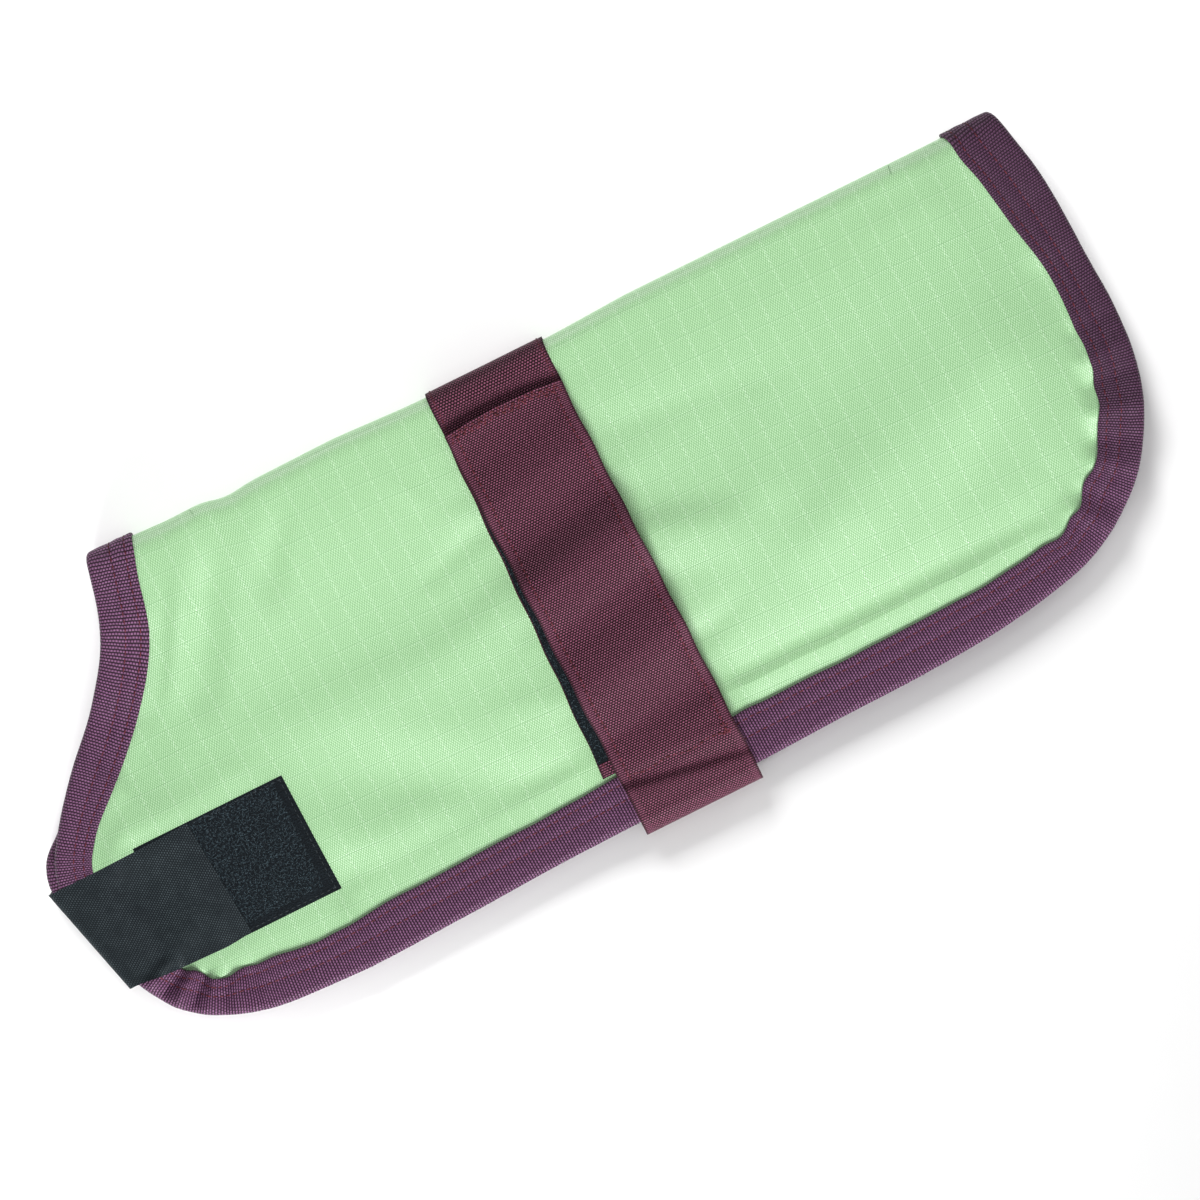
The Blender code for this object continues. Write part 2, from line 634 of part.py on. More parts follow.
def main():
    for old in list(bpy.data.objects):
        bpy.data.objects.remove(old)
    ripstop = material("coat_ripstop", (0.40, 0.74, 0.35), 0.55)
    purple = material("binding_webbing", (0.11, 0.035, 0.085), 0.60)
    plum = material("strap_webbing", (0.12, 0.025, 0.050), 0.60)
    loops = material("loop_tape", (0.012, 0.016, 0.022), 0.85)
    elastic = material("black_elastic", (0.030, 0.038, 0.048), 0.80)
    lining = material("lining", (0.10, 0.10, 0.11), 0.80)
    shell = coat_shell(ripstop)
    folded_layers(lining)
    neck_binding(purple)
    hem_binding(purple)
    back_band(plum)
    belly_strap(plum)
    strap_loop_strip(loops)
    chest_loop_patch(shell, loops)
    chest_tab(elastic)


main()
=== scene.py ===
# %% [markdown]
# # A padded dog coat, folded in half along its back
# The coat is one flat cut of padded ripstop, bound all round with purple tape. A band of webbing is sewn
# across its back, and goes on under it as a belly strap that comes up over the near side. At the chest
# an elastic tab is folded round both halves and laid on a patch of loop tape.
# Cloth is easiest to build where it is flat, so every piece is drawn on the coat's cutting pattern first,
# and one function, place(), then folds the pattern along the back and lays it down.

# %% Load the frame's parts
import math
import bmesh
import bpy
import numpy as np
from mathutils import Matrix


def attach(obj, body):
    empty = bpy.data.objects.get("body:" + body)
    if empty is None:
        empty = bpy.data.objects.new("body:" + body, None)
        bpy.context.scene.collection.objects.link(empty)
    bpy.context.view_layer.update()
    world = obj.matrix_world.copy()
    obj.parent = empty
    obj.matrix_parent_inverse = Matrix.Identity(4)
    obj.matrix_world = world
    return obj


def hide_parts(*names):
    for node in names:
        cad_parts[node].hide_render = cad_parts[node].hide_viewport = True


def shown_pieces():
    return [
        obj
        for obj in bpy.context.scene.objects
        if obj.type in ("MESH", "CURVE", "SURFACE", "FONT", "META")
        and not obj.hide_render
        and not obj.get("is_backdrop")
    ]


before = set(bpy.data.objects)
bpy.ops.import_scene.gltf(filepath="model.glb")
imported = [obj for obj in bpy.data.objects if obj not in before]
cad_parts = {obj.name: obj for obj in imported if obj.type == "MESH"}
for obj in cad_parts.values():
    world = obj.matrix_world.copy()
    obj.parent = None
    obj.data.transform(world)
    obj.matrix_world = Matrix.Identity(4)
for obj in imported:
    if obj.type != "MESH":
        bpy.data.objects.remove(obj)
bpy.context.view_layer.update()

MM = 0.001

# %% [markdown]
# ## The cutting pattern
# On the pattern, x runs along the back from the neck to the tail, and s is the distance round the coat
# from the fold on the back. The table walks round the edge of one half. Between its rows a smooth curve
# is drawn, and at both ends the curve meets the fold squarely, as a pattern cut on the fold has to.

# %% Sizes of the cloth, in millimetres
# The gap between pieces, the walls of the cloth and of tape or webbing, and the slot between the halves.
GAP = 0.3
WALL = 3.0
TAPE = 1.2
STEP = GAP + TAPE
LEAF_SLOT = 0.8

# The fold on the back: its outermost Y, its bulge, the girth it takes up, the height of the cloth beside
# it, how far its uneven outline is felt, and how square it is (1 is round).
FOLD_Y = 97.8
FOLD_BULGE = 9.0
FOLD_GIRTH = 14.6
FOLD_FACE = 18.0
FOLD_FADE = 60.0
FOLD_SQUARE = 0.72

# The padding: its rise at the hem and at the fold, and the lengths of its ramp beside the margin, of its
# slope to the hem, of the change from fold to hem, and of the far half's ramp down from the tape.
PUFF_END = 1.0
PUFF_FOLD = 1.2
PUFF_RAMP = 22.0
HEM_SLOPE = 62.0
FOLD_LEVELS = 75.0
FLOOR_RAMP = 6.0

# The widths of the webbing and of the black strips, where the strap lies, and how softly it presses.
WEBBING = 52.0
STRIP = 51.0
ZONE_SOFT = 8.0
STRAP_ZONE = (-26.0, 37.0)

# Columns: x, s, the tape's visible width, the pressed margin beside it, how far the far half's edge
# stands outside this one, and where the grid line from here meets the fold.
EDGE = [
    (-170, 0, 20.8, 1, 0, -124), (-172, 14.6, 20.4, 1, -0.5, -122),
    (-179.2, 37.3, 19.6, 1.5, -1.2, -119), (-194.2, 58.3, 19, 2, -1.5, -116),
    (-214.2, 79.2, 17, 2, -1, -113), (-229.2, 97.8, 15.4, 2, 0.5, -110),
    (-236.2, 109, 15.2, 3, 4, -108.5), (-238.7, 118.1, 15, 3, 4, -107),
    (-238.4, 129.8, 15, 3, 0.8, -105), (-235.6, 142.8, 15, 3, -0.5, -103),
    (-231.9, 155, 15, 3, -1.2, -101), (-227.4, 166.8, 15, 3, -1.5, -99),
    (-216.3, 183.8, 15, 4, -1.5, -96), (-207.9, 190.2, 14.6, 5, -1.5, -93),
    (-193, 196.8, 17.6, 7, -1.5, -88), (-151.2, 201.8, 18.6, 8.5, -1.5, -78),
    (-100, 200.9, 19.8, 8.5, -1.5, -62), (-49.2, 198.8, 19.6, 8.5, -1.5, -44),
    (-34, 198.5, 19.8, 8.5, -1.5, -34), (-26, 198.3, 20.2, 8.5, -1.5, -26),
    (37, 197.6, 20.8, 8.5, -1.5, 37), (45, 197.4, 20.8, 8.5, -1.5, 45),
    (70.8, 196.5, 20.4, 8.5, -1.5, 64), (110.8, 195.6, 19.8, 8.5, -1.5, 94),
    (150.8, 192.6, 18.6, 8, -1.5, 120), (170.8, 189.3, 17.8, 7, -1.5, 132),
    (190.8, 184, 16.8, 5, -1.5, 142), (210.8, 172.6, 17.4, 3, -1.5, 150),
    (222, 162.8, 17.6, 2, -1.5, 155), (230.8, 151.1, 17.6, 1, -1.5, 160),
    (240.8, 129.5, 17.4, 1, -1.5, 166), (244.8, 99.8, 18.6, 1, -1.5, 172),
    (243.8, 74.8, 17.2, 1, -1.5, 178), (240.8, 32.8, 21.6, 1, -1, 183),
    (237, 14.6, 22.4, 1, -0.5, 186), (234.6, 0, 21, 1, 0, 188),
]
JOIN_AT = (-235.6, 142.8)

# The padding falls towards this line, at the foot of the hem's margin, where a lip follows it.
# Columns: x, s, height of the fall, and the lip's share of its full height.
HEM_FOOT = [
    (-250, 150, 1, 0.3), (-215, 164, 1, 0.3), (-190, 171, 1.2, 0.2), (-110, 168, 1.9, 0.12),
    (-50, 165, 2.7, 0.4), (37, 162, 4.6, 1.15), (110.8, 161.5, 4.8, 1.05), (150.8, 161, 4.4, 0.8),
    (176, 161, 4.2, 0.5), (200, 150, 5, 0), (222, 136, 3.6, 0), (250, 124, 2, 0),
]

# It also thins out towards the inner edges of the neck's and the tail's tape. Columns: s, x neck, x tail.
END_LINES = [
    (0, -150, 214), (37, -160, 220), (58, -176, 224), (79, -198, 227), (98, -216, 226),
    (130, -226, 222), (151, -222, 213), (165, -216, 204), (200, -200, 190),
]
END_SLOPE = 60.0

# The tape was eased round the curves by hand, so its inner edge wanders. Columns: x and s on the coat's
# edge, half the length of the wave, and how much wider the tape is there.
TAPE_WAVES = [
    (-173, 20, 19, -1.5), (-212, 77, 28, 1.4), (-214.5, 186, 11, 2.1), (-201, 193.5, 7, -0.8),
    (-191, 197.3, 8, 0.8), (-174, 200.6, 13, 0.9), (-155, 201.6, 7, -0.5), (-122, 201.8, 20, 0.9),
    (-56, 199, 16, -0.4), (39, 197.6, 10, 0.6), (84, 196.2, 16, -0.4), (150, 192, 18, -0.5),
    (172, 189, 14, -0.4), (190.5, 184, 12, -1.8), (204, 177, 8, -1.3), (213.5, 170.5, 9, 1.6),
    (234, 145, 18, 1.2), (241, 128, 11, 1.7), (244.5, 107, 9, -0.6), (242.8, 52, 24, 1),
    (238.5, 20, 12, -0.8), (234.6, 0, 7, 1.6),
]
FINEST = 24


# %% Smooth curves, and the edge of each half
def smooth_step(t):
    """0 up to t = 0, 1 from t = 1, and a soft curve between them."""
    t = np.clip(t, 0.0, 1.0)
    return t * t * (3.0 - 2.0 * t)


def mix(start, end, share):
    """Start at share 0, and end at share 1."""
    return start + (end - start) * share


def running(steps):
    """0, and then the sum of the steps so far."""
    return np.concatenate([[0.0], np.cumsum(steps)])


def read(table, at, column):
    """A column of a table, read between its rows."""
    rows = np.array(table, float)
    return np.interp(at, rows[:, 0], rows[:, column])


def plateau(value, low, high, soft):
    """1 from low to high, falling to 0 within soft on each side."""
    return smooth_step((value - low) / soft + 1.0) * smooth_step((high - value) / soft + 1.0)


def run_through(rows, between):
    """Points on a smooth curve through the rows, which meets the fold squarely at both ends."""
    flip = np.where(np.arange(rows.shape[1]) == 1, -1.0, 1.0)
    rows = np.vstack([rows[1] * flip, rows, rows[-2] * flip])
    chord = np.hypot(*np.diff(rows[:, :2], axis=0).T)[:, None]
    slope = np.diff(rows, axis=0) / chord
    tangent = (slope[:-1] * chord[1:] + slope[1:] * chord[:-1]) / (chord[:-1] + chord[1:])
    t = np.arange(between)[:, None] / between
    points = []
    for i in range(len(rows) - 3):
        points.append(
            rows[i + 1] * (2 * t**3 - 3 * t**2 + 1)
            + tangent[i] * chord[i + 1] * (t**3 - 2 * t**2 + t)
            + rows[i + 2] * (3 * t**2 - 2 * t**3)
            + tangent[i + 1] * chord[i + 1] * (t**3 - t**2)
        )
    return np.vstack(points + [rows[-2][None]])


class HalfEdge:
    """The edge of one half, as evenly spaced stations: where they are, how far along the edge, the
    tape's and the margin's widths, and the direction into the cloth."""

    def __init__(self, side, spacing):
        fine = run_through(np.array(EDGE), FINEST)
        run = running(np.hypot(*np.diff(fine[:, :2], axis=0).T))
        self.count = int(run[-1] / spacing) + 2
        self.along = np.linspace(0.0, run[-1], self.count)
        columns = [np.interp(self.along, run, column) for column in fine.T]
        self.x, self.s, self.tape, self.margin, outside, self.core = columns
        along_x, along_s = np.gradient(self.x), np.gradient(self.s)
        along_x[[0, -1]] = 0.0
        length = np.hypot(along_x, along_s)
        self.in_x, self.in_s = along_s / length, -along_x / length
        for wave_x, wave_s, half, wider in TAPE_WAVES:
            centre = self.along[np.hypot(self.x - wave_x, self.s - wave_s).argmin()]
            self.tape = self.tape + wider * (1.0 - smooth_step(np.abs(self.along - centre) / half))
        self.join = np.hypot(self.x - JOIN_AT[0], self.s - JOIN_AT[1]).argmin()
        if side < 0:
            self.x = self.x - self.in_x * outside
            self.s = self.s - self.in_s * outside


SIDES = (1, -1)
RULER = {side: HalfEdge(side, 1.0) for side in SIDES}
print("edge of one half:", round(RULER[1].along[-1]), "mm")


def edge_state(side, x, s):
    """Distance inside a half's edge, the tape's and the margin's widths there, and the place along it."""
    ruler = RULER[side]
    x, s = np.broadcast_arrays(np.asarray(x, float), np.asarray(s, float))
    flat_x, flat_s = x.reshape(-1), s.reshape(-1)
    nearest = np.empty(flat_x.size, int)
    for start in range(0, flat_x.size, 4000):
        part = slice(start, start + 4000)
        away = (flat_x[part, None] - ruler.x) ** 2 + (flat_s[part, None] - ruler.s) ** 2
        nearest[part] = away.argmin(axis=1)
    inward = (flat_x - ruler.x[nearest]) * ruler.in_x[nearest]
    inward = inward + (flat_s - ruler.s[nearest]) * ruler.in_s[nearest]
    found = inward, ruler.tape[nearest], ruler.margin[nearest], ruler.along[nearest]
    return [value.reshape(x.shape) for value in found]


# %% [markdown]
# ## Where the cloth lies
# Padded cloth that has been folded and pressed by hand never lies evenly. The broad shape comes first:
# the fold is round, the padding rises from the pressed margin, and the two halves thin out to the hem.
# On top of that lie the soft folds, each with its own length, depth and width. A trough is a fold with a
# minus height. Where the strap holds the coat down, the cloth is pulled into short puckers. A ridge that
# is lit from the hem is bright on its hem side and dark on the other.

# %% The soft folds
# Each fold is a list that runs from left to right through its rows. Columns: x, s, height (minus for a
# trough), and how far it reaches towards the spine and towards the hem.
FOLDS = [
    # two troughs beside the neck, the crest between the first and the tape, and what lies beyond
    [(-158, 84, 0, 10, 12), (-153, 74, -1.45, 11, 12), (-144, 58, -2.15, 11, 13),
     (-134.5, 40, -1.9, 11, 13), (-127, 22, -1.15, 11, 12), (-121, 6, -0.45, 10, 12),
     (-119, 0, 0, 10, 12)],
    [(-169, 76, 0, 6, 9), (-162, 64, 0.65, 6, 9), (-147, 40, 0.77, 6, 9), (-139, 24, 0.33, 6, 9),
     (-133, 12, 0, 6, 9)],
    [(-113, 56, 0, 9, 11), (-108, 43, -1.5, 10, 11), (-101, 29, -1.7, 10, 11), (-93, 18, -1.2, 10, 11),
     (-86, 8, -0.45, 10, 11), (-83, 0, 0, 10, 11)],
    # the swell along the tab, and short creases above the patch
    [(-242, 111, 0, 18, 12), (-226, 116, 2.1, 20, 14), (-200, 118, 2.4, 22, 14),
     (-170, 117, 1.28, 20, 14), (-140, 113, 0, 16, 14)],
    [(-166, 97, 0, 5, 9), (-158, 104, 0.4, 5, 9), (-147, 112, 0, 5, 9)],
    # the star of fine creases beside the band
    [(-52, 24, 0, 5, 3), (-47, 33, 0.4, 5, 3), (-41, 42, 0.5, 5, 3), (-36, 52, 0, 5, 3)],
    [(-63, 76, 0, 5, 4), (-50, 72.5, -0.55, 5, 4), (-38, 68.5, -0.8, 6, 5), (-27, 66, -0.7, 7, 8),
     (-8, 65, 0, 7, 8)],
    [(-61, 74, 0, 2.5, 5), (-52, 77, 0.45, 2.5, 5), (-43, 80.5, 0, 2.5, 5)],
    [(-50, 53, 0, 12, 9), (-36, 55, 0.32, 12, 9), (-8, 56, 0.4, 12, 9)],
    # broad bands from the band to the chest
    [(-165, 98, 0, 12, 20), (-110, 99, 0.34, 12, 20), (-60, 102, 0.86, 12, 20),
     (-40, 98, 1.13, 11, 20), (-26, 93.5, 1.46, 10, 18), (-6, 92, 1.03, 10, 18)],
    [(-62, 132, 0, 8, 14), (-44, 134, 0.56, 8, 14), (-27, 137, 0.8, 8, 16), (-6, 137, 0.48, 8, 16)],
    # the long trough above the hem, chest half, and the pinches at the patch
    [(-156, 116, 0, 29.7, 20), (-130, 126, -1.14, 29.7, 22), (-112, 133, -2, 29.7, 26),
     (-100, 139, -2.29, 27, 24), (-78, 150, -1.8, 23, 18), (-64, 157, -1.1, 17.6, 12),
     (-50, 163, -0.45, 13.5, 8), (-36, 167, 0, 10.8, 6)],
    [(-106, 148, 0, 5, 12), (-92, 153, 0.4, 5, 12), (-76, 161, 0, 5, 10)],
    [(-143, 166, 0, 22, 8), (-133, 165, -0.9, 22, 8), (-122, 163, 0, 20, 8)],
    # from the strap towards the tail
    [(-6, 48, 0, 14, 7), (36, 50.5, -0.7, 14, 7), (62, 54, -0.54, 14, 7), (96, 58.5, -0.23, 12, 6),
     (125, 61, 0, 12, 6)],
    [(-6, 65, 0, 12, 12), (37, 66, 0.48, 12, 12), (52, 68, 0.32, 12, 12), (72, 72, 0, 12, 12)],
    [(-6, 92, 1.03, 11, 21.6), (37, 94.5, 2.24, 11, 24.3), (50, 99, 2.08, 12, 24.3),
     (64, 103.5, 1.46, 12, 24.3), (78, 107, 0.43, 12, 21.6), (86, 108, 0, 12, 21.6)],
    [(78, 108, 0, 13, 20), (84, 97, 0.9, 13, 20), (94, 75, 0.7, 13, 20), (100, 60, 0, 13, 20)],
    [(82, 138, 0, 16, 24), (95, 129, 0.81, 17, 24), (110, 121, 1.17, 18, 24), (122, 108, 0.72, 16, 24),
     (131, 96, 0, 14, 24)],
    [(106, 104, 0, 4, 8), (112, 92, 0.25, 4, 8), (116, 82, 0, 4, 8)],
    [(-6, 126, 0, 8, 14), (37, 126, 0.51, 8, 14), (48, 125, 0.26, 8, 14), (62, 124, 0, 8, 14)],
    [(-6, 141.5, -0.32, 7, 7), (38, 141.5, -0.72, 7, 7), (50, 138, -0.48, 6, 6), (66, 131, 0, 6, 6)],
    # the diagonal swell across the tail corner, and the trough beyond it
    [(46, 138, 0, 34, 28), (80, 132, 0.35, 36, 28), (110, 122, 0.69, 38, 30), (140, 110, 0.99, 40, 32),
     (165, 99, 0.99, 40, 28), (190, 88, 0.61, 40, 24), (210, 78, 0, 36, 24)],
    [(124, 166, 0, 14, 18), (145, 153, -0.73, 16, 24), (160, 139, -1.26, 18, 26),
     (173, 125, -1.26, 18, 26), (188, 110, -0.63, 18, 24), (200, 98, 0, 16, 20)],
    [(158, 21, 0, 12, 11), (170, 24, 0.63, 12, 11), (188, 25, 0.54, 12, 11), (204, 22, 0, 12, 11)],
    [(110, 80, 0, 60, 50), (150, 82, 0.68, 62, 54), (192, 84, 1.5, 64, 56), (212, 84, 1, 64, 56),
     (226, 84, 0, 64, 56)],
    # the padding's rise from the spine
    [(-112, 27, 0, 15, 50), (-60, 28, 0.2, 15, 50), (40, 29, 0.25, 15, 50), (120, 29, 0.4, 15, 50),
     (200, 28, 0.5, 15, 50), (216, 27, 0, 15, 50)],
]

# Straight ripples that cross the tape at the neck, the chest corner and the tail corner. Columns: x and s
# at one end, x and s at the other, height, and reach on both sides.
TAPE_RIPPLES = [
    (-184, 36, -160, 34, 0.86, 9), (-204, 63, -180, 70, -0.69, 10), (-223, 169, -212, 164, 2.2, 4),
    (-221, 174, -209, 169, -2, 4), (-217, 180, -206, 172.5, 2.5, 4), (-213, 184, -203, 175.5, -2.2, 4),
    (-208, 188, -199, 178, 2.4, 4), (-202, 191, -196, 180, -2, 4), (-196, 194, -191, 182, 1.7, 4),
    (-189, 197, -186, 182, -2.2, 4), (-141, 203, -139.5, 177.5, 1.2, 5), (198, 157, 214, 172, -1.2, 5),
    (192, 162, 206, 178, 1.44, 5), (208, 148, 226, 160, 1.44, 5), (212, 141, 233, 150, -1.44, 5),
    (216, 131, 240, 137, 1.69, 5.5), (220, 121, 244, 123, -1.44, 5), (222, 111, 246, 111, 1.44, 5),
    (224, 99, 247, 98, -0.97, 5), (224, 64, 246, 62, 0.69, 9), (222, 46, 246, 44, -0.52, 8),
]

# Dents on the far half, which the surface presses flat between them, in the same columns.
FAR_FOLDS = [
    (-150, 30, -112, 92, 0.7, 9), (-120, 140, -60, 152, 0.8, 11), (-70, 40, -36, 92, 0.5, 8),
    (-180, 104, -150, 128, 0.5, 8), (52, 58, 108, 84, 0.7, 10), (70, 132, 150, 118, 0.9, 13),
    (168, 52, 190, 128, 0.6, 12), (120, 30, 150, 66, 0.4, 8),
]

# The fold's outline, a little uneven along the back. Columns: x and y.
FOLD_LINE = [
    (-175, 99.6), (-150, 99.2), (-134, 98.4), (-119, 98.7), (-109, 96.2), (-97, 97.6), (-60, 98.1),
    (-26, 96.4), (5.5, 96.2), (37, 96.3), (70, 97.8), (240, 97.8),
]
# The lip on the margin: its crest's place inside the margin's edge, its reach towards the padding and
# towards the tape, and its height.
MARGIN_LIP = (0.6, 4.8, 8.0, 1.3)
# The patch's x at its left, at the top and bottom of its right edge, and its s from and to.
PATCH_LEFT = -205.0
PATCH_RIGHT = (-138.5, -137.0)
PATCH_S = (117.1, 168.5)
# The corners, as x and y, of the tab's free end and of its fold round the coat, and how far its run under
# the coat goes along and across.
TAB_END = np.array([(-180.8, -14.2), (-176.9, -65.0)])
TAB_FOLD = np.array([(-243.7, -15.4), (-231.0, -63.5)])
TAB_ZONE_RUN = (-60.0, 50.0)
TAB_ZONE_ACROSS = (-18.0, 53.0)


# %% Maps of the folds
RELIEF_X = np.arange(-256.0, 256.5, 1.0)
RELIEF_S = np.arange(-4.0, 208.5, 1.0)
RELIEF_SOFT = np.hanning(6)[1:-1] / np.hanning(6).sum()


def straight(table):
    """Straight ripples as folds of two rows."""
    return [[(x0, s0, rise, reach, reach), (x1, s1, rise, reach, reach)]
            for x0, s0, x1, s1, rise, reach in table]


def fold_relief(table):
    """A map of what the folds add, on a 1 mm grid. Each fold counts once, at its nearest point."""
    x, s = np.meshgrid(RELIEF_X, RELIEF_S, indexing="ij")
    total = np.zeros(x.shape)
    for rows in table:
        nearest, height = np.full(x.shape, np.inf), np.zeros(x.shape)
        for (x0, s0, rise0, up0, down0), (x1, s1, rise1, up1, down1) in zip(rows, rows[1:]):
            run_x, run_s = x1 - x0, s1 - s0
            t = np.clip(((x - x0) * run_x + (s - s0) * run_s) / (run_x**2 + run_s**2), 0.0, 1.0)
            away = np.hypot(x - x0 - t * run_x, s - s0 - t * run_s)
            hemward = (s - s0) * run_x - (x - x0) * run_s > 0.0
            reach = np.where(hemward, mix(down0, down1, t), mix(up0, up1, t))
            here = mix(rise0, rise1, t) * (1.0 - smooth_step(away / reach))
            height = np.where(away < nearest, here, height)
            nearest = np.minimum(away, nearest)
        total += height
    for axis in (0, 1):
        total = np.apply_along_axis(np.convolve, axis, total, RELIEF_SOFT, "same")
    return total


def fold_heights(relief, x, s):
    """The map's height at x and s."""
    x, s = np.broadcast_arrays(np.asarray(x, float), np.asarray(s, float))
    at_x = np.clip(x - RELIEF_X[0], 0.0, len(RELIEF_X) - 1.001)
    at_s = np.clip(s - RELIEF_S[0], 0.0, len(RELIEF_S) - 1.001)
    i, j = at_x.astype(int), at_s.astype(int)
    u, v = at_x - i, at_s - j
    near = relief[i, j] * (1.0 - v) + relief[i, j + 1] * v
    return near * (1.0 - u) + (relief[i + 1, j] * (1.0 - v) + relief[i + 1, j + 1] * v) * u


COAT_RELIEF = fold_relief(FOLDS)
TAPE_RELIEF, FAR_RELIEF = fold_relief(straight(TAPE_RIPPLES)), fold_relief(straight(FAR_FOLDS))
print("folds:", len(FOLDS), "near", len(FAR_FOLDS), "far")


# %% Where the strap and the tab press, and the outline of the fold
def leaf_y(x, s):
    """Y of the flat part of a half, at girth s from the fold."""
    line = np.array(FOLD_LINE)
    steps = np.linspace(line[0, 0], line[-1, 0], 416)
    soft = np.convolve(np.interp(steps, *line.T), np.ones(9) / 9.0, mode="same")
    soft[:5], soft[-5:] = line[0, 1], line[-1, 1]
    dip = np.interp(x, steps, soft) - FOLD_Y
    dip = dip * (1.0 - smooth_step((s - FOLD_GIRTH) / FOLD_FADE))
    return FOLD_Y + dip - FOLD_BULGE - (s - FOLD_GIRTH)


def strap_zone(x):
    """1 across the width of the band and the strap."""
    return plateau(x, *STRAP_ZONE, ZONE_SOFT)


def tab_directions():
    """Unit vectors: down the tab's fold, out of the coat, and along the run under the coat."""
    down = (TAB_FOLD[1] - TAB_FOLD[0]) / np.hypot(*(TAB_FOLD[1] - TAB_FOLD[0]))
    out = np.array([down[1], -down[0]])
    under = np.array([1.0 - 2.0 * down[0] ** 2, -2.0 * down[0] * down[1]])
    return down, out, under


def tab_zone(x, s):
    """1 over the tab's run under the coat."""
    _, _, under = tab_directions()
    from_x, from_y = x - TAB_FOLD[0, 0], leaf_y(x, s) - TAB_FOLD[0, 1]
    run = from_x * under[0] + from_y * under[1]
    across = from_x * under[1] - from_y * under[0]
    return plateau(run, *TAB_ZONE_RUN, ZONE_SOFT) * plateau(across, *TAB_ZONE_ACROSS, ZONE_SOFT)


def under_zone(x, s):
    return np.maximum(strap_zone(x), tab_zone(x, s))


# Puckers at the strap's edges. Columns: x, waves along s, and how much, how fast and from where their
# spacing wanders.
PUCKERS = [(-25.0, 0.46, 1.8, 0.043, 0.0), (38.0, 0.42, 2.1, 0.051, 1.0)]
PUCKER_REACH = 5.0
PUCKER_HEIGHT = 0.14


def strap_puckers(x, s):
    """Short puckers where the strap's two edges hold the padding down."""
    total = 0.0
    for edge_x, waves, wander, slow, start in PUCKERS:
        near_edge = np.exp(-(((x - edge_x) / PUCKER_REACH) ** 2))
        total = total + near_edge * np.sin(waves * s + wander * np.sin(slow * s + start))
    return PUCKER_HEIGHT * total


# %% Heights of both halves
# How the near half is held down: x from, x to and softness under the strap, and how far it sinks there.
HELD_FLAT = (-10.0, 21.0, 16.0)
HELD_DOWN = (-3.0, 14.0, 24.0)
STRAP_SINK = 0.5
# The share of the folds that the patch stiffens away, from how far inside its right edge, and how softly
# along x and s. Then the share of the lip that the strap presses flat.
PATCH_STIFF = 0.6
PATCH_STIFF_INSIDE = 3.0
PATCH_STIFF_SOFT = (9.0, 8.0)
LIP_PRESSED = 0.7
# How round the padding's fall is, how full it is at its ends, and where folds and puckers begin.
FALL_POWER = 1.7
END_SHARE = 0.1
CLEAR_OF_FOLD = 24.0
FOLDS_START = (2.0, 10.0)
# How far inside the far half's tape its ramp starts. Then the same for its dents, and how softly they
# begin there and past the fold.
FLOOR_RAMP_START = 1.0
DENTS_START = (3.0, 14.0, 16.0)


def near_height(x, s):
    """Height of the near half's outer face over the surface."""
    inward, tape, margin, _ = edge_state(1, x, s)
    inside = inward - tape - margin
    from_fold = np.maximum(s - FOLD_GIRTH, 0.0)
    levels = smooth_step(from_fold / FOLD_LEVELS)
    hem_face = 2.0 * (WALL + 2.0 * STEP) + LEAF_SLOT - STEP
    pressed = mix(FOLD_FACE, hem_face, levels)

    ramp = smooth_step(inside / PUFF_RAMP)
    foot_s, foot_fall, lip_share = (read(HEM_FOOT, x, column) for column in (1, 2, 3))
    neck_x, tail_x = (read(END_LINES, s, column) for column in (1, 2))
    from_neck, from_tail = (x - neck_x) / END_SLOPE, (tail_x - x) / END_SLOPE
    ends = smooth_step(from_neck + END_SHARE) * smooth_step(from_tail + END_SHARE)
    down = np.clip((foot_s - s) / HEM_SLOPE, 0.0, 1.0)
    puff = mix(PUFF_FOLD, PUFF_END, levels) * ramp
    puff = puff + foot_fall * (1.0 - (1.0 - down) ** FALL_POWER) * levels * ends

    crest, to_padding, to_tape, height = MARGIN_LIP
    from_crest = np.abs(inside - crest) / np.where(inside > crest, to_padding, to_tape)
    lip = height * lip_share * (1.0 - smooth_step(from_crest)) * smooth_step(margin / to_tape)
    lip = lip * (1.0 - LIP_PRESSED * strap_zone(x))
    lift = STEP * under_zone(x, s) * (1.0 - ramp) * levels
    sink = STRAP_SINK * plateau(x, *HELD_DOWN) * ramp

    soft_x, soft_s = PATCH_STIFF_SOFT
    stiff_end = PATCH_RIGHT[0] - PATCH_STIFF_INSIDE
    under_patch = plateau(x, PATCH_LEFT, stiff_end, soft_x) * plateau(s, *PATCH_S, soft_s)
    clear = smooth_step(from_fold / CLEAR_OF_FOLD)
    free = (1.0 - plateau(x, *HELD_FLAT)) * (1.0 - PATCH_STIFF * under_patch) * clear
    on_panel = smooth_step((inside + FOLDS_START[0]) / FOLDS_START[1])
    folds = fold_heights(COAT_RELIEF, x, s) * on_panel + fold_heights(TAPE_RELIEF, x, s)
    puckers = strap_puckers(x, s) * on_panel * clear
    return pressed + puff + lip + lift + folds * free - sink + puckers


def far_height(x, s):
    """Height of the far half's outer face: on the surface, but for what runs under it and the dents."""
    inward, tape, _, _ = edge_state(-1, x, s)
    over_tape = 1.0 - smooth_step((inward - tape - FLOOR_RAMP_START) / FLOOR_RAMP)
    start, soft, soft_fold = DENTS_START
    on_panel = smooth_step((inward - tape - start) / soft) * smooth_step((s - FOLD_GIRTH) / soft_fold)
    dents = fold_heights(FAR_RELIEF, x, s) * on_panel * (1.0 - under_zone(x, s))
    return STEP * (over_tape + under_zone(x, s)) + dents


# %% The function that folds the pattern
FOLD_TURNS = np.radians(np.linspace(-90.0, 90.0, 721))


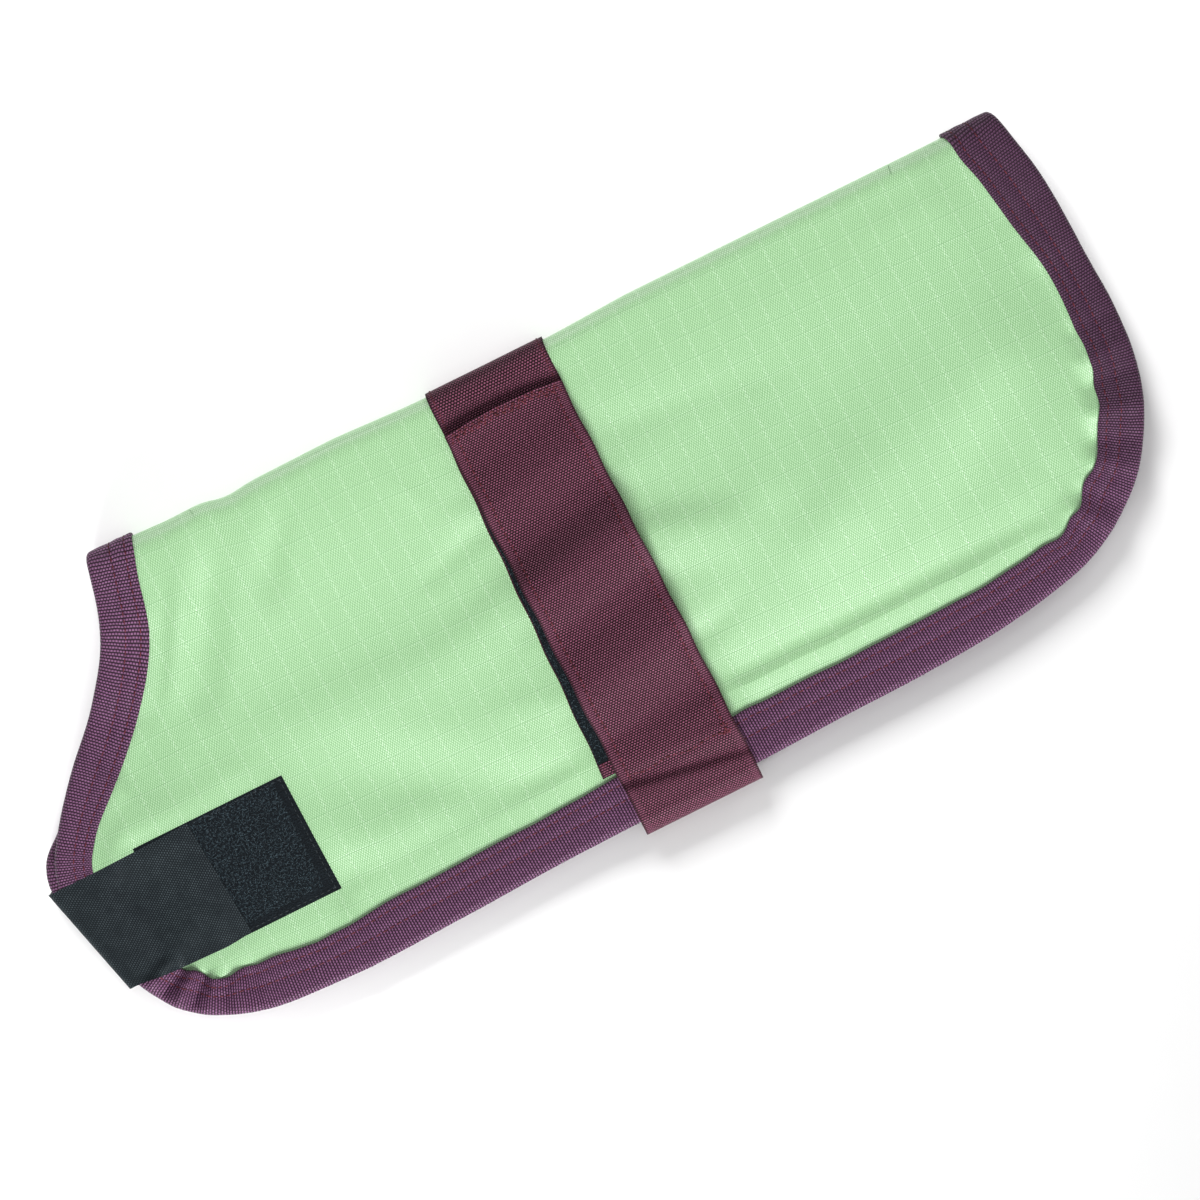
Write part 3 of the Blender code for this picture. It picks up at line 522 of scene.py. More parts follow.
def squared(turn):
    """A round that is a little square: the fold's outline, as shares of its bulge and half its height."""
    return np.abs(np.cos(turn)) ** FOLD_SQUARE, np.sign(turn) * np.abs(np.sin(turn)) ** FOLD_SQUARE


FOLD_STEPS = np.hypot(*np.diff(squared(FOLD_TURNS), axis=1))
FOLD_SHARE = running(FOLD_STEPS) / FOLD_STEPS.sum() * 2.0 - 1.0


def place(x, s, over):
    """The point this far over the cloth's outer face, at x and s of the pattern."""
    x, s, over = np.broadcast_arrays(*(np.asarray(value, float) for value in (x, s, over)))
    near, far = near_height(x, np.abs(s)), far_height(x, np.abs(s))
    y = leaf_y(x, np.maximum(np.abs(s), FOLD_GIRTH))
    along_y, along_z = squared(np.interp(s / FOLD_GIRTH, FOLD_SHARE, FOLD_TURNS))
    round_y = y + (FOLD_BULGE + over) * along_y
    round_z = (near + far) / 2.0 + ((near - far) / 2.0 + over) * along_z
    flat_z = np.where(s > 0.0, near + over, far - over)
    on_fold = np.abs(s) < FOLD_GIRTH
    return np.stack([x, np.where(on_fold, round_y, y), np.where(on_fold, round_z, flat_z)], axis=-1)


# %% [markdown]
# ## From grids of points to cloth
# Each piece is made of sheets: grids of points with, beside every point, its place on the flat cloth in
# millimetres. That second grid becomes the UV map, so the weave follows the cut and not the space, as it
# does in real cloth. A wall is an outer and an inner sheet with four narrow ones round the rim. Points
# that coincide are merged, and the faces are then turned outwards.

# %% Sheets, walls and stations
WELD = 0.00001
SHARP_ANGLE = math.radians(50.0)


def added(name, data):
    """An object with this data, in the scene."""
    made = bpy.data.objects.new(name, data)
    bpy.context.scene.collection.objects.link(made)
    return made


def quads_of(rows, columns, start=0):
    """The faces of a grid whose points are numbered row by row."""
    index = start + np.arange(rows * columns).reshape(rows, columns)
    corners = [index[:-1, :-1], index[:-1, 1:], index[1:, 1:], index[1:, :-1]]
    return np.stack(corners, axis=-1).reshape(-1, 4)


def cloth_object(name, sheets, material):
    """One mesh from several (points, cut) grids, welded, with the cut as its UV map."""
    points, cuts, faces, count = [], [], [], 0
    for grid, cut in sheets:
        faces.append(quads_of(*grid.shape[:2], count))
        points.append(grid.reshape(-1, 3))
        cuts.append(np.asarray(cut, float).reshape(-1, 2))
        count += len(points[-1])
    faces = np.vstack(faces)
    mesh = bpy.data.meshes.new(name)
    mesh.from_pydata((np.vstack(points) * MM).tolist(), [], faces.tolist())
    uv = mesh.uv_layers.new(name="cut")
    uv.data.foreach_set("uv", np.vstack(cuts)[faces.reshape(-1)].reshape(-1))
    form = bmesh.new()
    form.from_mesh(mesh)
    bmesh.ops.remove_doubles(form, verts=form.verts, dist=WELD)
    bmesh.ops.recalc_face_normals(form, faces=form.faces)
    form.to_mesh(mesh)
    form.free()
    mesh.shade_smooth()
    mesh.set_sharp_from_angle(angle=SHARP_ANGLE)
    mesh.materials.append(material)
    print(name, len(mesh.polygons), "faces")
    return added(name, mesh)


def rim(outer, inner, cut, row):
    """A narrow sheet along one row or column of a wall's two grids."""
    return np.stack([outer[row], inner[row]]), np.stack([cut[row], cut[row]])


def wall_sheets(outer, inner, cut):
    """The sheets of a closed cloth wall."""
    rims = [rim(outer, inner, cut, row) for row in (0, -1, (slice(None), 0), (slice(None), -1))]
    return [(outer, cut), (inner, cut)] + rims


def pattern_cut(x, s):
    return np.stack(np.broadcast_arrays(x, s), axis=-1)


# %% [markdown]
# ## Finishes
# Each woven finish is a plain weave worked out from the UV map: one wave along the cloth times one wave
# across it is positive where a lengthwise thread lies on top, and negative where a crosswise one does.
# The thread on top is a bead that catches the light, so it is lighter, glossier and higher. A constant
# is set on the shader's own socket, and only what changes over the cloth is linked.

# %% A short way to write node sums
class Finish:
    """A material whose pattern is written as sums on the cut, in millimetres."""

    def __init__(self, name, **constants):
        self.material = bpy.data.materials.new(name)
        self.material.use_nodes = True
        self.nodes, self.links = self.material.node_tree.nodes, self.material.node_tree.links
        self.shader = self.nodes["Principled BSDF"]
        for socket, value in constants.items():
            self.shader.inputs[socket.replace("_", " ")].default_value = value

    def feed(self, socket, value):
        if isinstance(value, bpy.types.NodeSocket):
            self.links.new(value, socket)
        else:
            socket.default_value = value

    def sum(self, operation, *values):
        node = self.nodes.new("ShaderNodeMath")
        node.operation = operation
        for socket, value in zip(node.inputs, values):
            self.feed(socket, value)
        return node.outputs[0]

    def add(self, first, second):
        return self.sum("ADD", first, second)

    def less(self, first, second):
        return self.sum("SUBTRACT", first, second)

    def times(self, first, second):
        return self.sum("MULTIPLY", first, second)

    def wave(self, value, pitch):
        """A sine that crosses zero once in each pitch."""
        return self.sum("SINE", self.times(value, math.pi / pitch))

    def cut(self):
        """The place on the flat cloth: along x and along s, in millimetres."""
        node = self.nodes.new("ShaderNodeUVMap")
        node.uv_map = "cut"
        split = self.nodes.new("ShaderNodeSeparateXYZ")
        self.links.new(node.outputs[0], split.inputs[0])
        return node.outputs[0], split.outputs[0], split.outputs[1]

    def noise(self, at, scale, detail=2.0):
        node = self.nodes.new("ShaderNodeTexNoise")
        node.inputs["Scale"].default_value = scale
        node.inputs["Detail"].default_value = detail
        self.feed(node.inputs["Vector"], at)
        return node.outputs["Fac"]

    def fade(self, value, low, high, to_low=0.0, to_high=1.0):
        node = self.nodes.new("ShaderNodeMapRange")
        node.interpolation_type = "SMOOTHSTEP"
        for socket, given in zip(node.inputs, (value, low, high, to_low, to_high)):
            self.feed(socket, given)
        return node.outputs[0]

    def blend(self, share, first, second):
        """The first colour at share 0, and the second at share 1."""
        node = self.nodes.new("ShaderNodeMix")
        node.data_type = "RGBA"
        self.feed(node.inputs[0], share)
        inputs = [socket for socket in node.inputs if socket.type == "RGBA"]
        for socket, colour in zip(inputs, (first, second)):
            self.feed(socket, (*colour, 1.0) if isinstance(colour, tuple) else colour)
        return [socket for socket in node.outputs if socket.type == "RGBA"][0]

    def lines(self, value, spacing, offset=0.0):
        """Distance to the nearest of a set of even lines."""
        positive = self.add(value, 1000.0 * spacing - offset)
        share = self.sum("FRACT", self.sum("DIVIDE", positive, spacing))
        from_middle = self.sum("ABSOLUTE", self.less(share, 0.5))
        return self.times(self.less(0.5, from_middle), spacing)

    def done(self, colour, height, depth, roughness=None):
        """Links the colour and a bump of this depth in millimetres, and gives the material."""
        self.links.new(colour, self.shader.inputs["Base Color"])
        if roughness is not None:
            self.links.new(roughness, self.shader.inputs["Roughness"])
        bump = self.nodes.new("ShaderNodeBump")
        bump.inputs["Distance"].default_value = depth * MM
        bump.inputs["Strength"].default_value = 1.0
        self.links.new(height, bump.inputs["Height"])
        self.links.new(bump.outputs[0], self.shader.inputs["Normal"])
        print("finish:", self.material.name, "with", len(self.nodes), "nodes")
        return self.material


# %% [markdown]
# ### Ripstop
# Ripstop is a plain weave of fine thread with a thicker one let in every centimetre or so both ways, which
# stops a tear. Here the thick threads across the back stand proud and wander, and carry a painted
# highlight, the glint; those along the back show as a thin dark line of painted shade with a bright row of
# painted highlight beside it.

# %% Green ripstop
RIP_ACROSS = 10.7
RIP_ALONG = 9.5
BEAD = (0.52, 0.85)
SKEW = 0.03


def green_ripstop():
    f = Finish(
        "green_ripstop", Roughness=0.40, Specular_IOR_Level=1.0, Sheen_Weight=0.05,
        Coat_Weight=0.4, Coat_Roughness=0.32)
    at, x, s = f.cut()
    drift = f.times(f.less(f.noise(at, 0.05), 0.5), 1.6)
    skewed = f.add(f.less(s, f.times(x, SKEW)), drift)
    x = f.add(x, drift)
    bead = f.fade(f.times(f.wave(x, BEAD[0]), f.wave(skewed, BEAD[1])), -0.35, 0.75)
    uneven = f.noise(at, 0.9, 3.0)
    zigzag = f.times(f.sum("SINE", f.times(s, 2.4)), 0.25)
    thick = f.fade(f.lines(f.add(x, zigzag), RIP_ACROSS), 0.75, 0.25)
    thick = f.times(thick, f.fade(uneven, 0.30, 0.60))
    # The dark line is painted shade beside the thread along the back; the bright row and the glint are
    # painted highlights.
    dark_line = f.fade(f.lines(skewed, RIP_ALONG), 0.34, 0.10)
    bright_row = f.fade(f.lines(skewed, RIP_ALONG, 0.8), 0.50, 0.20)
    colour = f.blend(bead, (0.215, 0.455, 0.190), (0.525, 0.810, 0.480))
    colour = f.blend(f.fade(uneven, 0.30, 0.80, 0.0, 0.35), colour, (0.430, 0.715, 0.385))
    glint = f.sum("MAXIMUM", f.times(thick, 0.85), f.times(bright_row, 0.40))
    colour = f.blend(f.times(glint, bead), colour, (0.640, 0.900, 0.600))
    colour = f.blend(f.times(dark_line, 0.30), colour, (0.215, 0.465, 0.195))
    height = f.add(f.times(bead, 0.7), f.times(thick, 0.7))
    height = f.less(height, f.times(dark_line, 0.4))
    return f.done(colour, height, 0.10, f.fade(bead, 0.0, 1.0, 0.48, 0.36))


# %% [markdown]
# ### Tape and webbing
# Both are woven with heavy crosswise threads, which make ribs from edge to edge. Round shiny beads stand
# on the ribs where the lengthwise threads cross them. The selvedge at each edge is denser.

# %% Purple binding tape, plum webbing and slate elastic
# How far inside the edge the selvedge and its dark outer thread begin and are full.
SELVEDGE = (3.6, 3.0)
OUTER_THREAD = (1.2, 0.5)


def ribbed(
        name, dark, light, pitch_along, pitch_across, depth, dash_from, half_width=None, mottle=0.0,
        painted_shade=None, **constants):
    """A ribbed tape. Its cut runs along the tape, and across it from the middle. A half width gives it
    selvedges; mottle darkens it in random patches, partly its own uneven tone and partly painted shade
    standing in for soft folds; and the argument after mottle gives the stretch along the tape where
    painted shade darkens it, as if that stretch took less of the light."""
    f = Finish(name, **constants)
    at, along, across = f.cut()
    drift = f.times(f.less(f.noise(at, 0.12), 0.5), 0.9)
    row, thread = f.wave(f.add(along, drift), pitch_along), f.wave(across, pitch_across)
    dash = f.fade(f.times(thread, f.sum("SIGN", row)), dash_from, dash_from + 0.9)
    rib = f.fade(f.sum("ABSOLUTE", row), 0.30, 0.95)
    uneven = f.noise(at, 0.55, 3.0)
    bead = f.times(dash, rib)
    colour = f.blend(f.times(bead, f.fade(uneven, 0.2, 0.8, 0.60, 1.0)), dark, light)
    if half_width is not None:
        from_middle = f.sum("ABSOLUTE", across)
        dense = f.blend(rib, dark, tuple(0.6 * c for c in light))
        edge = f.fade(from_middle, *(half_width - inside for inside in SELVEDGE))
        colour = f.blend(f.times(edge, 0.5), colour, dense)
        outer = f.fade(from_middle, *(half_width - inside for inside in OUTER_THREAD))
        colour = f.blend(f.times(outer, 0.7), colour, dark)
    # Painted shade: along this stretch of the tape the colour is pulled towards its dark thread, standing
    # in for less light.
    if painted_shade:
        start, full, share = painted_shade
        colour = f.blend(f.fade(f.sum("ABSOLUTE", along), start, full, 0.0, share), colour, dark)
    # Random darker patches: partly the elastic's own uneven tone, and partly painted shade standing in for
    # its soft folds.
    if mottle:
        mottle_and_fold_shade = f.add(f.noise(at, 0.14, 4.0), f.times(f.noise(at, 1.5, 2.0), 0.5))
        colour = f.blend(f.fade(mottle_and_fold_shade, 0.55, 0.95, mottle, 0.0), colour, dark)
    height = f.add(f.times(bead, 0.7), f.times(rib, 0.4))
    return f.done(colour, height, depth, f.fade(bead, 0.0, 1.0, 0.62, 0.40))


# The purple tape is darkened with painted shade across the tail end, as if it took less of the light
# there.
purple_tape = ribbed(
    "purple_tape", (0.020, 0.004, 0.015), (0.295, 0.128, 0.262), 1.20, 0.62, 0.22, -1.1,
    painted_shade=(640.0, 710.0, 0.55), Specular_IOR_Level=0.25)
plum_webbing = ribbed(
    "plum_webbing", (0.014, 0.002, 0.004), (0.390, 0.116, 0.208), 0.95, 0.645, 0.26, -0.70, WEBBING / 2.0,
    Specular_IOR_Level=0.20)
# The elastic's mottle is partly its own tone and partly painted shade of its soft folds.
slate_elastic = ribbed(
    "slate_elastic", (0.007, 0.011, 0.014), (0.072, 0.094, 0.104), 0.84, 0.60, 0.12, -0.55, mottle=0.5,
    Specular_IOR_Level=0.15)
ripstop = green_ripstop()


# %% [markdown]
# ### Loop tape, thread and lining
# Loop tape is a dense mat of tiny black loops between two plain woven edges. The mat's ground is a fine
# random mottle, and real loops are planted on it further down.

# %% Black loop tape, sewing thread and lining
def mottled(name, dark, light, scale, depth, **constants):
    f = Finish(name, **constants)
    at, _, _ = f.cut()
    fine, broad = f.noise(at, scale, 3.0), f.noise(at, scale / 9.0, 2.0)
    tone = f.fade(f.add(f.times(fine, 0.8), f.times(broad, 0.2)), 0.36, 0.66)
    return f.done(f.blend(tone, dark, light), tone, depth)


loop_ground = mottled("loop_ground", (0.002, 0.004, 0.006), (0.009, 0.015, 0.020), 1.6, 0.25,
                      Roughness=0.8, Specular_IOR_Level=0.2)
lining_cloth = mottled("lining_cloth", (0.050, 0.050, 0.056), (0.090, 0.090, 0.098), 0.9, 0.10,
                       Roughness=0.8, Specular_IOR_Level=0.3)


def plain_thread(name, dark, light, roughness):
    """Twisted thread: light and dark bands wind round it."""
    f = Finish(name, Roughness=roughness, Specular_IOR_Level=0.4)
    where = f.nodes.new("ShaderNodeTexCoord").outputs["Object"]
    twist = f.noise(where, 2600.0, 1.0)
    return f.done(f.blend(f.fade(twist, 0.35, 0.65), dark, light), twist, 0.03)


red_thread = plain_thread("red_thread", (0.065, 0.007, 0.012), (0.160, 0.020, 0.032), 0.60)
black_thread = plain_thread("black_thread", (0.012, 0.016, 0.020), (0.040, 0.050, 0.058), 0.60)
loop_thread = plain_thread("loop_thread", (0.001, 0.003, 0.005), (0.060, 0.098, 0.120), 0.50)

# %% [markdown]
# ## The coat's shell
# One cut of cloth makes both halves. The grid has a row for each station along the edge. From there it
# runs in under the tape, over the pressed margin and the padding, and up to the fold, and on the other
# half the same rows run down again. Rows are close at the margin, where the cloth bends most.

# %% Panel grids
PANEL_EDGE = 2.7
SHELL_SPACING = 3.1
LEAST_MARGIN = 3.2
# Where the rows beside the edge lie: as a share of the tape's width, past the tape, as a share of the
# margin's width, and past the margin.
TAPE_SHARE = 0.6
PAST_TAPE = (-0.5, 0.4, 1.2)
MARGIN_SHARE = 0.55
PAST_MARGIN = (0.8, 2.2, 4.0)
# How often the grid is evened out, and its rows over the padding and round the fold.
GRID_EASING = 24
BODY_ROWS = 45
FOLD_ROWS = 9
PANEL = {side: HalfEdge(side, SHELL_SPACING) for side in SIDES}


def panel_grid(side, over, start=(PANEL_EDGE,)):
    """One half's grid at this height over its face, with its place on the pattern."""
    edge = PANEL[side]
    tape, margin = edge.tape, edge.margin
    room = np.maximum(margin, LEAST_MARGIN)
    past_tape = (*PAST_TAPE, room * MARGIN_SHARE, room)
    rings = list(start) + [tape * TAPE_SHARE] + [tape + ring for ring in past_tape]
    rings += [tape + room + ring for ring in PAST_MARGIN]
    distance = np.stack([np.broadcast_to(ring, edge.x.shape) for ring in rings], axis=1)
    x = edge.x[:, None] + edge.in_x[:, None] * distance
    s = edge.s[:, None] + edge.in_s[:, None] * distance
    last_x, last_s, core = x[:, -1:], s[:, -1:], edge.core[:, None]
    fold_s = np.minimum(last_s, FOLD_GIRTH * np.linspace(1.0, 0.0, FOLD_ROWS)[None, :])
    fold_x = np.broadcast_to(core, fold_s.shape)
    share = np.linspace(0.0, 1.0, BODY_ROWS + 1)[None, 1:-1]
    body_x, body_s = last_x + (core - last_x) * share, last_s + (fold_s[:, :1] - last_s) * share
    x, s = np.hstack([x, body_x, fold_x]), np.hstack([s, body_s, fold_s]) * side
    kept = len(rings) - 2
    for _ in range(GRID_EASING):
        for grid in (x, s):
            grid[1:-1, kept:-FOLD_ROWS] = (
                grid[:-2, kept:-FOLD_ROWS] + grid[2:, kept:-FOLD_ROWS]
                + grid[1:-1, kept - 1:-FOLD_ROWS - 1] + grid[1:-1, kept + 1:1 - FOLD_ROWS]) / 4.0
    return place(x, s, over), pattern_cut(x, s)


def shell_sheets(thickness):
    sheets = []
    for side in SIDES:
        outer, cut = panel_grid(side, 0.0)
        inner, _ = panel_grid(side, -thickness)
        sheets += [(outer, cut), (inner, cut), rim(outer, inner, cut, (slice(None), 0))]
    return sheets


SHELL_WALL = 2.6
coat = cloth_object("ripstop_coat", shell_sheets(SHELL_WALL), ripstop)


# %% [markdown]
# ## Wadding and lining
# Inside the fold lie the wadding and the lining of both halves, pressed together. They show only as the
# dark slot between the two bound edges, so one rounded body with a groove round it stands for them.

# %% The pressed layers inside the fold
LAYERS_GAP = 1.2
GROOVE = 5.0


def layers_sheets():
    (near, cut), (far, far_cut) = (
        panel_grid(side, -WALL - LAYERS_GAP, start=()) for side in SIDES)
    near, cut, far, far_cut = (grid[:, 2:] for grid in (near, cut, far, far_cut))
    middle = (near[:, 0] + far[:, 0]) / 2.0
    inward = (near[:, 1] + far[:, 1]) / 2.0 - middle
    length = np.maximum(np.linalg.norm(inward, axis=1), 0.001)[:, None]
    deep = middle + inward / length * GROOVE
    deep[[0, -1]] = middle[[0, -1]]
    groove = np.stack([near[:, 0], deep, far[:, 0]])
    return [(near, cut), (far, far_cut), (groove, np.stack([cut[:, 0]] * 3))]


layers = cloth_object("wadding_and_lining", layers_sheets(), lining_cloth)


# %% [markdown]
# ## Binding tape
# The tape is folded over the cloth's raw edge and sewn through with two rows. Its section is a closed
# loop: an outer limb with two shallow stitched grooves, a round nose over the edge, and an inner limb.
# The section is carried along the edge of the near half and back along the far half, because each tape
# is one length. A sharp curve gathers the tape, which is why its inner edge wanders.

# %% Binding sections carried along the edge
NOSE = 2.7
TAPE_SPACING = 2.4
TAPE_EDGES = {side: HalfEdge(side, TAPE_SPACING) for side in SIDES}
JOIN_GAP = 0.2
NOSE_TURNS = np.radians(np.linspace(78.0, -78.0, 9))
# The rows of stitches: the first as a share of the tape's width, the second as a distance inside its inner
# edge. Then the tape's height in each row, beside the rows and between them.
STITCH_ROWS = (0.52, 3.4)
IN_ROWS = (1.12, 1.15)
BESIDE_ROWS = 1.45
BETWEEN_ROWS = 1.60


def tape_section(tape):
    """Distances inside the edge and heights over the cloth, round the section, and the way round it."""
    rise, turn = np.sin(NOSE_TURNS), 1.0 - np.cos(NOSE_TURNS)
    middle, half = -WALL / 2.0, WALL / 2.0
    first, second = tape * STITCH_ROWS[0], tape - STITCH_ROWS[1]
    outer = [
        (tape, 0.45), (tape + 0.05, 1.0), (tape - 0.5, 1.5), (second + 1.0, 1.5), (second, IN_ROWS[1]),
        (second - 1.0, BESIDE_ROWS), ((first + second) / 2.0, BETWEEN_ROWS), (first + 1.0, BESIDE_ROWS),
        (first, IN_ROWS[0]), (first - 1.0, BESIDE_ROWS), (NOSE + (first - NOSE) / 2.0, BETWEEN_ROWS),
        (NOSE, 1.5)]
    nose = [(NOSE * t, middle + (half + STEP) * r) for r, t in zip(rise, turn)]
    inner = [
        (NOSE, -WALL - STEP), (tape / 2.0, -WALL - STEP), (tape - 1.0, -WALL - STEP),
        (tape - 1.0, -WALL - GAP), (tape / 2.0, -WALL - GAP), (2.1, -WALL - GAP),
        (2.1, GAP), (tape / 2.0, GAP), (tape - 0.3, GAP)]
    return np.array(outer + nose + inner)


def binding_sheets(near_stations, far_stations, shift):
    route = [(1, i) for i in near_stations] + [(-1, i) for i in far_stations]
    x, s, over, run, round_it = [], [], [], [], []
    for place_in_route, (side, i) in enumerate(route):
        edge = TAPE_EDGES[side]
        section = tape_section(edge.tape[i])
        section = np.vstack([section, section[:1]])
        slide = shift if place_in_route in (0, len(route) - 1) else 0.0
        x.append(edge.x[i] + edge.in_x[i] * section[:, 0] - edge.in_s[i] * slide)
        s.append(side * (edge.s[i] + edge.in_s[i] * section[:, 0] + edge.in_x[i] * slide))
        over.append(section[:, 1])
        round_it.append(running(np.hypot(*np.diff(section, axis=0).T)))
        run.append(np.full(len(section), side * edge.along[i]))
    grid = place(np.array(x), np.array(s), np.array(over))
    cut = np.stack([np.array(run), np.array(round_it)], axis=-1)
    ends = []
    for row in (0, -1):
        centre = np.broadcast_to(grid[row, :-1].mean(axis=0), grid[row].shape)
        ends.append((np.stack([grid[row], centre]), np.stack([cut[row], cut[row]])))
    return [(grid, cut)] + ends


join, last = TAPE_EDGES[1].join, TAPE_EDGES[1].count - 1
neck_sheets = binding_sheets(range(join, -1, -1), range(1, join + 1), -JOIN_GAP)
hem_sheets = binding_sheets(range(join, last + 1), range(last - 1, join - 1, -1), JOIN_GAP)
neck_tape = cloth_object("neck_tape", neck_sheets, purple_tape)
hem_tape = cloth_object("hem_tape", hem_sheets, purple_tape)


# %% [markdown]
# ## Band, strap and their black strip
# The band is webbing sewn flat across the back. The strap leaves the coat under the far hem, turns up
# round both hems and lies over the near half, on a strip of black loop tape. It was pressed down by
# hand, so it rises and falls along its length. The table gives the height of its underside.

# %% Webbing laid on the coat
BAND_X = (7.0, 2.6)
FAR_BAND_X = (7.0, 8.2)
BAND_NEAR_END = 176.0
BAND_SEAM = 165.8
BAND_ROW = 2.5
LOOP_STRIP_X = (7.5, 2.4)
LOOP_STRIP_ENDS = (52.0, 170.0)
STRAP_X = (6.2, 8.3)
STRAP_TURN_BULGE = 8.0

# Columns: s, and height of the underside over the cloth. The rises lie askew across the strap.
STRAP_SLANT = 0.16
STRAP_OVER = [
    (23.8, 3.2), (30, 2.4), (38, 2.7), (45, 4.2), (54, 5.4), (62, 4.6), (70, 3.7), (77, 4.6),
    (83, 7.4), (89, 10.2), (95, 11), (104, 9.1), (113, 6.5), (120, 6.6), (128, 8.6), (136, 10),
    (143, 9.2), (152, 6.6), (160, 4.5), (166, 4.3), (174, 5.3), (182, 5.6), (190, 5), (196.5, 3.6),
]

# The step where the strap bends over the hem: s at the centre, how far askew it lies, its depth, half the
# width of its steep side, and the reach of its long side.
STRAP_CREASE = (187.5, 0.18, 2.4, 1.9, 13.0)
# Rows of stitches pull narrow grooves: distance from the centre line, depth and half the width.
STRAP_SEAM = (21.6, 0.35, 1.3)
STRAP_SEAM_END = 180.0
# How far a groove fades past its end, half the width of the row across, and how far that one fades.
SEAM_FADE = 3.0
CROSS_HALF = 2.0
CROSS_FADE = 2.0
# The table of heights is read this far past its ends, and is evened out over this many of its steps.
STRAP_PAST = 12.0
STRAP_EVEN = 15


def band_x(s):
    share = np.abs(s) / BAND_NEAR_END
    return np.where(s > 0.0, mix(*BAND_X, share), mix(*FAR_BAND_X, share))


def strip_x(s):
    return mix(*LOOP_STRIP_X, s / BAND_NEAR_END)


def strap_x(s):
    start, end = STRAP_OVER[0][0], STRAP_OVER[-1][0]
    return mix(*STRAP_X, (s - start) / (end - start))


def strip_grid(x_at, s, width, columns, over):
    """A grid on the coat: rows at these girths and columns across the width, and its own cut."""
    s = np.asarray(s, float)[:, None]
    across = np.linspace(-0.5, 0.5, columns)[None, :] * width
    waver = 0.25 * np.sin(0.23 * s + 2.0) * np.abs(across) / (width / 2.0)
    grid = place(x_at(s) + across + waver, s, over)
    return grid, np.stack(np.broadcast_arrays(s, across), axis=-1)


def laid_strip(name, x_at, rows, width, inner_over, material):
    """Webbing or loop tape laid on the coat, crowned a little across its width."""
    columns = 15
    crown = 0.12 * (1.0 - np.linspace(-1.0, 1.0, columns)[None, :] ** 4)
    inner, cut = strip_grid(x_at, rows, width, columns, inner_over)
    outer, _ = strip_grid(x_at, rows, width, columns, inner_over + TAPE - 0.15 + crown)
    return cloth_object(name, wall_sheets(outer, inner, cut), material)


near_rows = np.arange(BAND_NEAR_END, FOLD_GIRTH, -BAND_ROW)
far_rows = np.arange(-FOLD_GIRTH - BAND_ROW, -BAND_SEAM, -BAND_ROW)
band_rows = np.concatenate([near_rows, np.linspace(FOLD_GIRTH, -FOLD_GIRTH, 25), far_rows, [-BAND_SEAM]])
band = laid_strip("back_band_webbing", band_x, band_rows, WEBBING, GAP, plum_webbing)

strip_rows = np.linspace(*LOOP_STRIP_ENDS, 60)
loop_strip = laid_strip("black_loop_strip", strip_x, strip_rows, STRIP, STEP + GAP, loop_ground)


# %% The strap, from its tip to its seam under the coat
STRAP_COLUMNS = 41
STRAP_PLY = 1.1
STRAP_ROW = 1.4
STRAP_CLEAR = 0.05
# From this s on, and over this length, the rises come to lie straight across.
STRAP_STRAIGHT = (178.0, 14.0)
# At its tip the strap curls up, is twisted and bows out: how far, and over what length.
TIP_CURL = (0.6, 6.0)
TIP_TWIST = 0.4
TIP_BOW = (1.9, 9.0)
EDGE_CURL = 0.25


def lengthwise_cut(face, width):
    """A strip's own cut: the way travelled along its middle, and the place across its width."""
    steps = np.linalg.norm(np.diff(face[:, face.shape[1] // 2], axis=0), axis=1)
    across = np.linspace(-0.5, 0.5, face.shape[1])[None, :] * width
    return np.stack(np.broadcast_arrays(running(steps)[:, None], across), axis=-1)


def strap_height(rows, across):
    """Height of the strap's underside over the cloth, at rows of s and places across it from -1 to 1."""
    start, end = STRAP_OVER[0][0], STRAP_OVER[-1][0]
    fine, soft = np.linspace(start - STRAP_PAST, end + STRAP_PAST, 500), np.hanning(STRAP_EVEN)
    table = np.pad(read(STRAP_OVER, fine, 1), STRAP_EVEN // 2, "edge")
    even = np.convolve(table, soft / soft.sum(), "valid")
    from_centre = across * WEBBING / 2.0
    straight = smooth_step((rows - STRAP_STRAIGHT[0]) / STRAP_STRAIGHT[1])
    over = np.interp(rows + STRAP_SLANT * from_centre * (1.0 - straight), fine, even)

    middle_s, lean, depth, half, reach = STRAP_CREASE
    past = rows - middle_s - lean * from_centre
    over = over - depth * smooth_step(past / reach + 1.0) * (1.0 - smooth_step(past / half * 0.5 + 0.5))

    seam_x, depth, half = STRAP_SEAM
    seam = 1.0 - smooth_step(np.abs(np.abs(from_centre) - seam_x) / half)
    seam = seam * smooth_step((STRAP_SEAM_END - rows) / SEAM_FADE + 1.0)
    cross = 1.0 - smooth_step(np.abs(rows - STRAP_SEAM_END) / CROSS_HALF)
    cross = cross * smooth_step((seam_x - np.abs(from_centre)) / CROSS_FADE + 1.0)
    over = over - depth * np.maximum(seam, cross)

    curl = (TIP_CURL[0] - TIP_TWIST * across) * np.exp(-(((rows - start) / TIP_CURL[1]) ** 2))
    return over + curl - EDGE_CURL * across**4


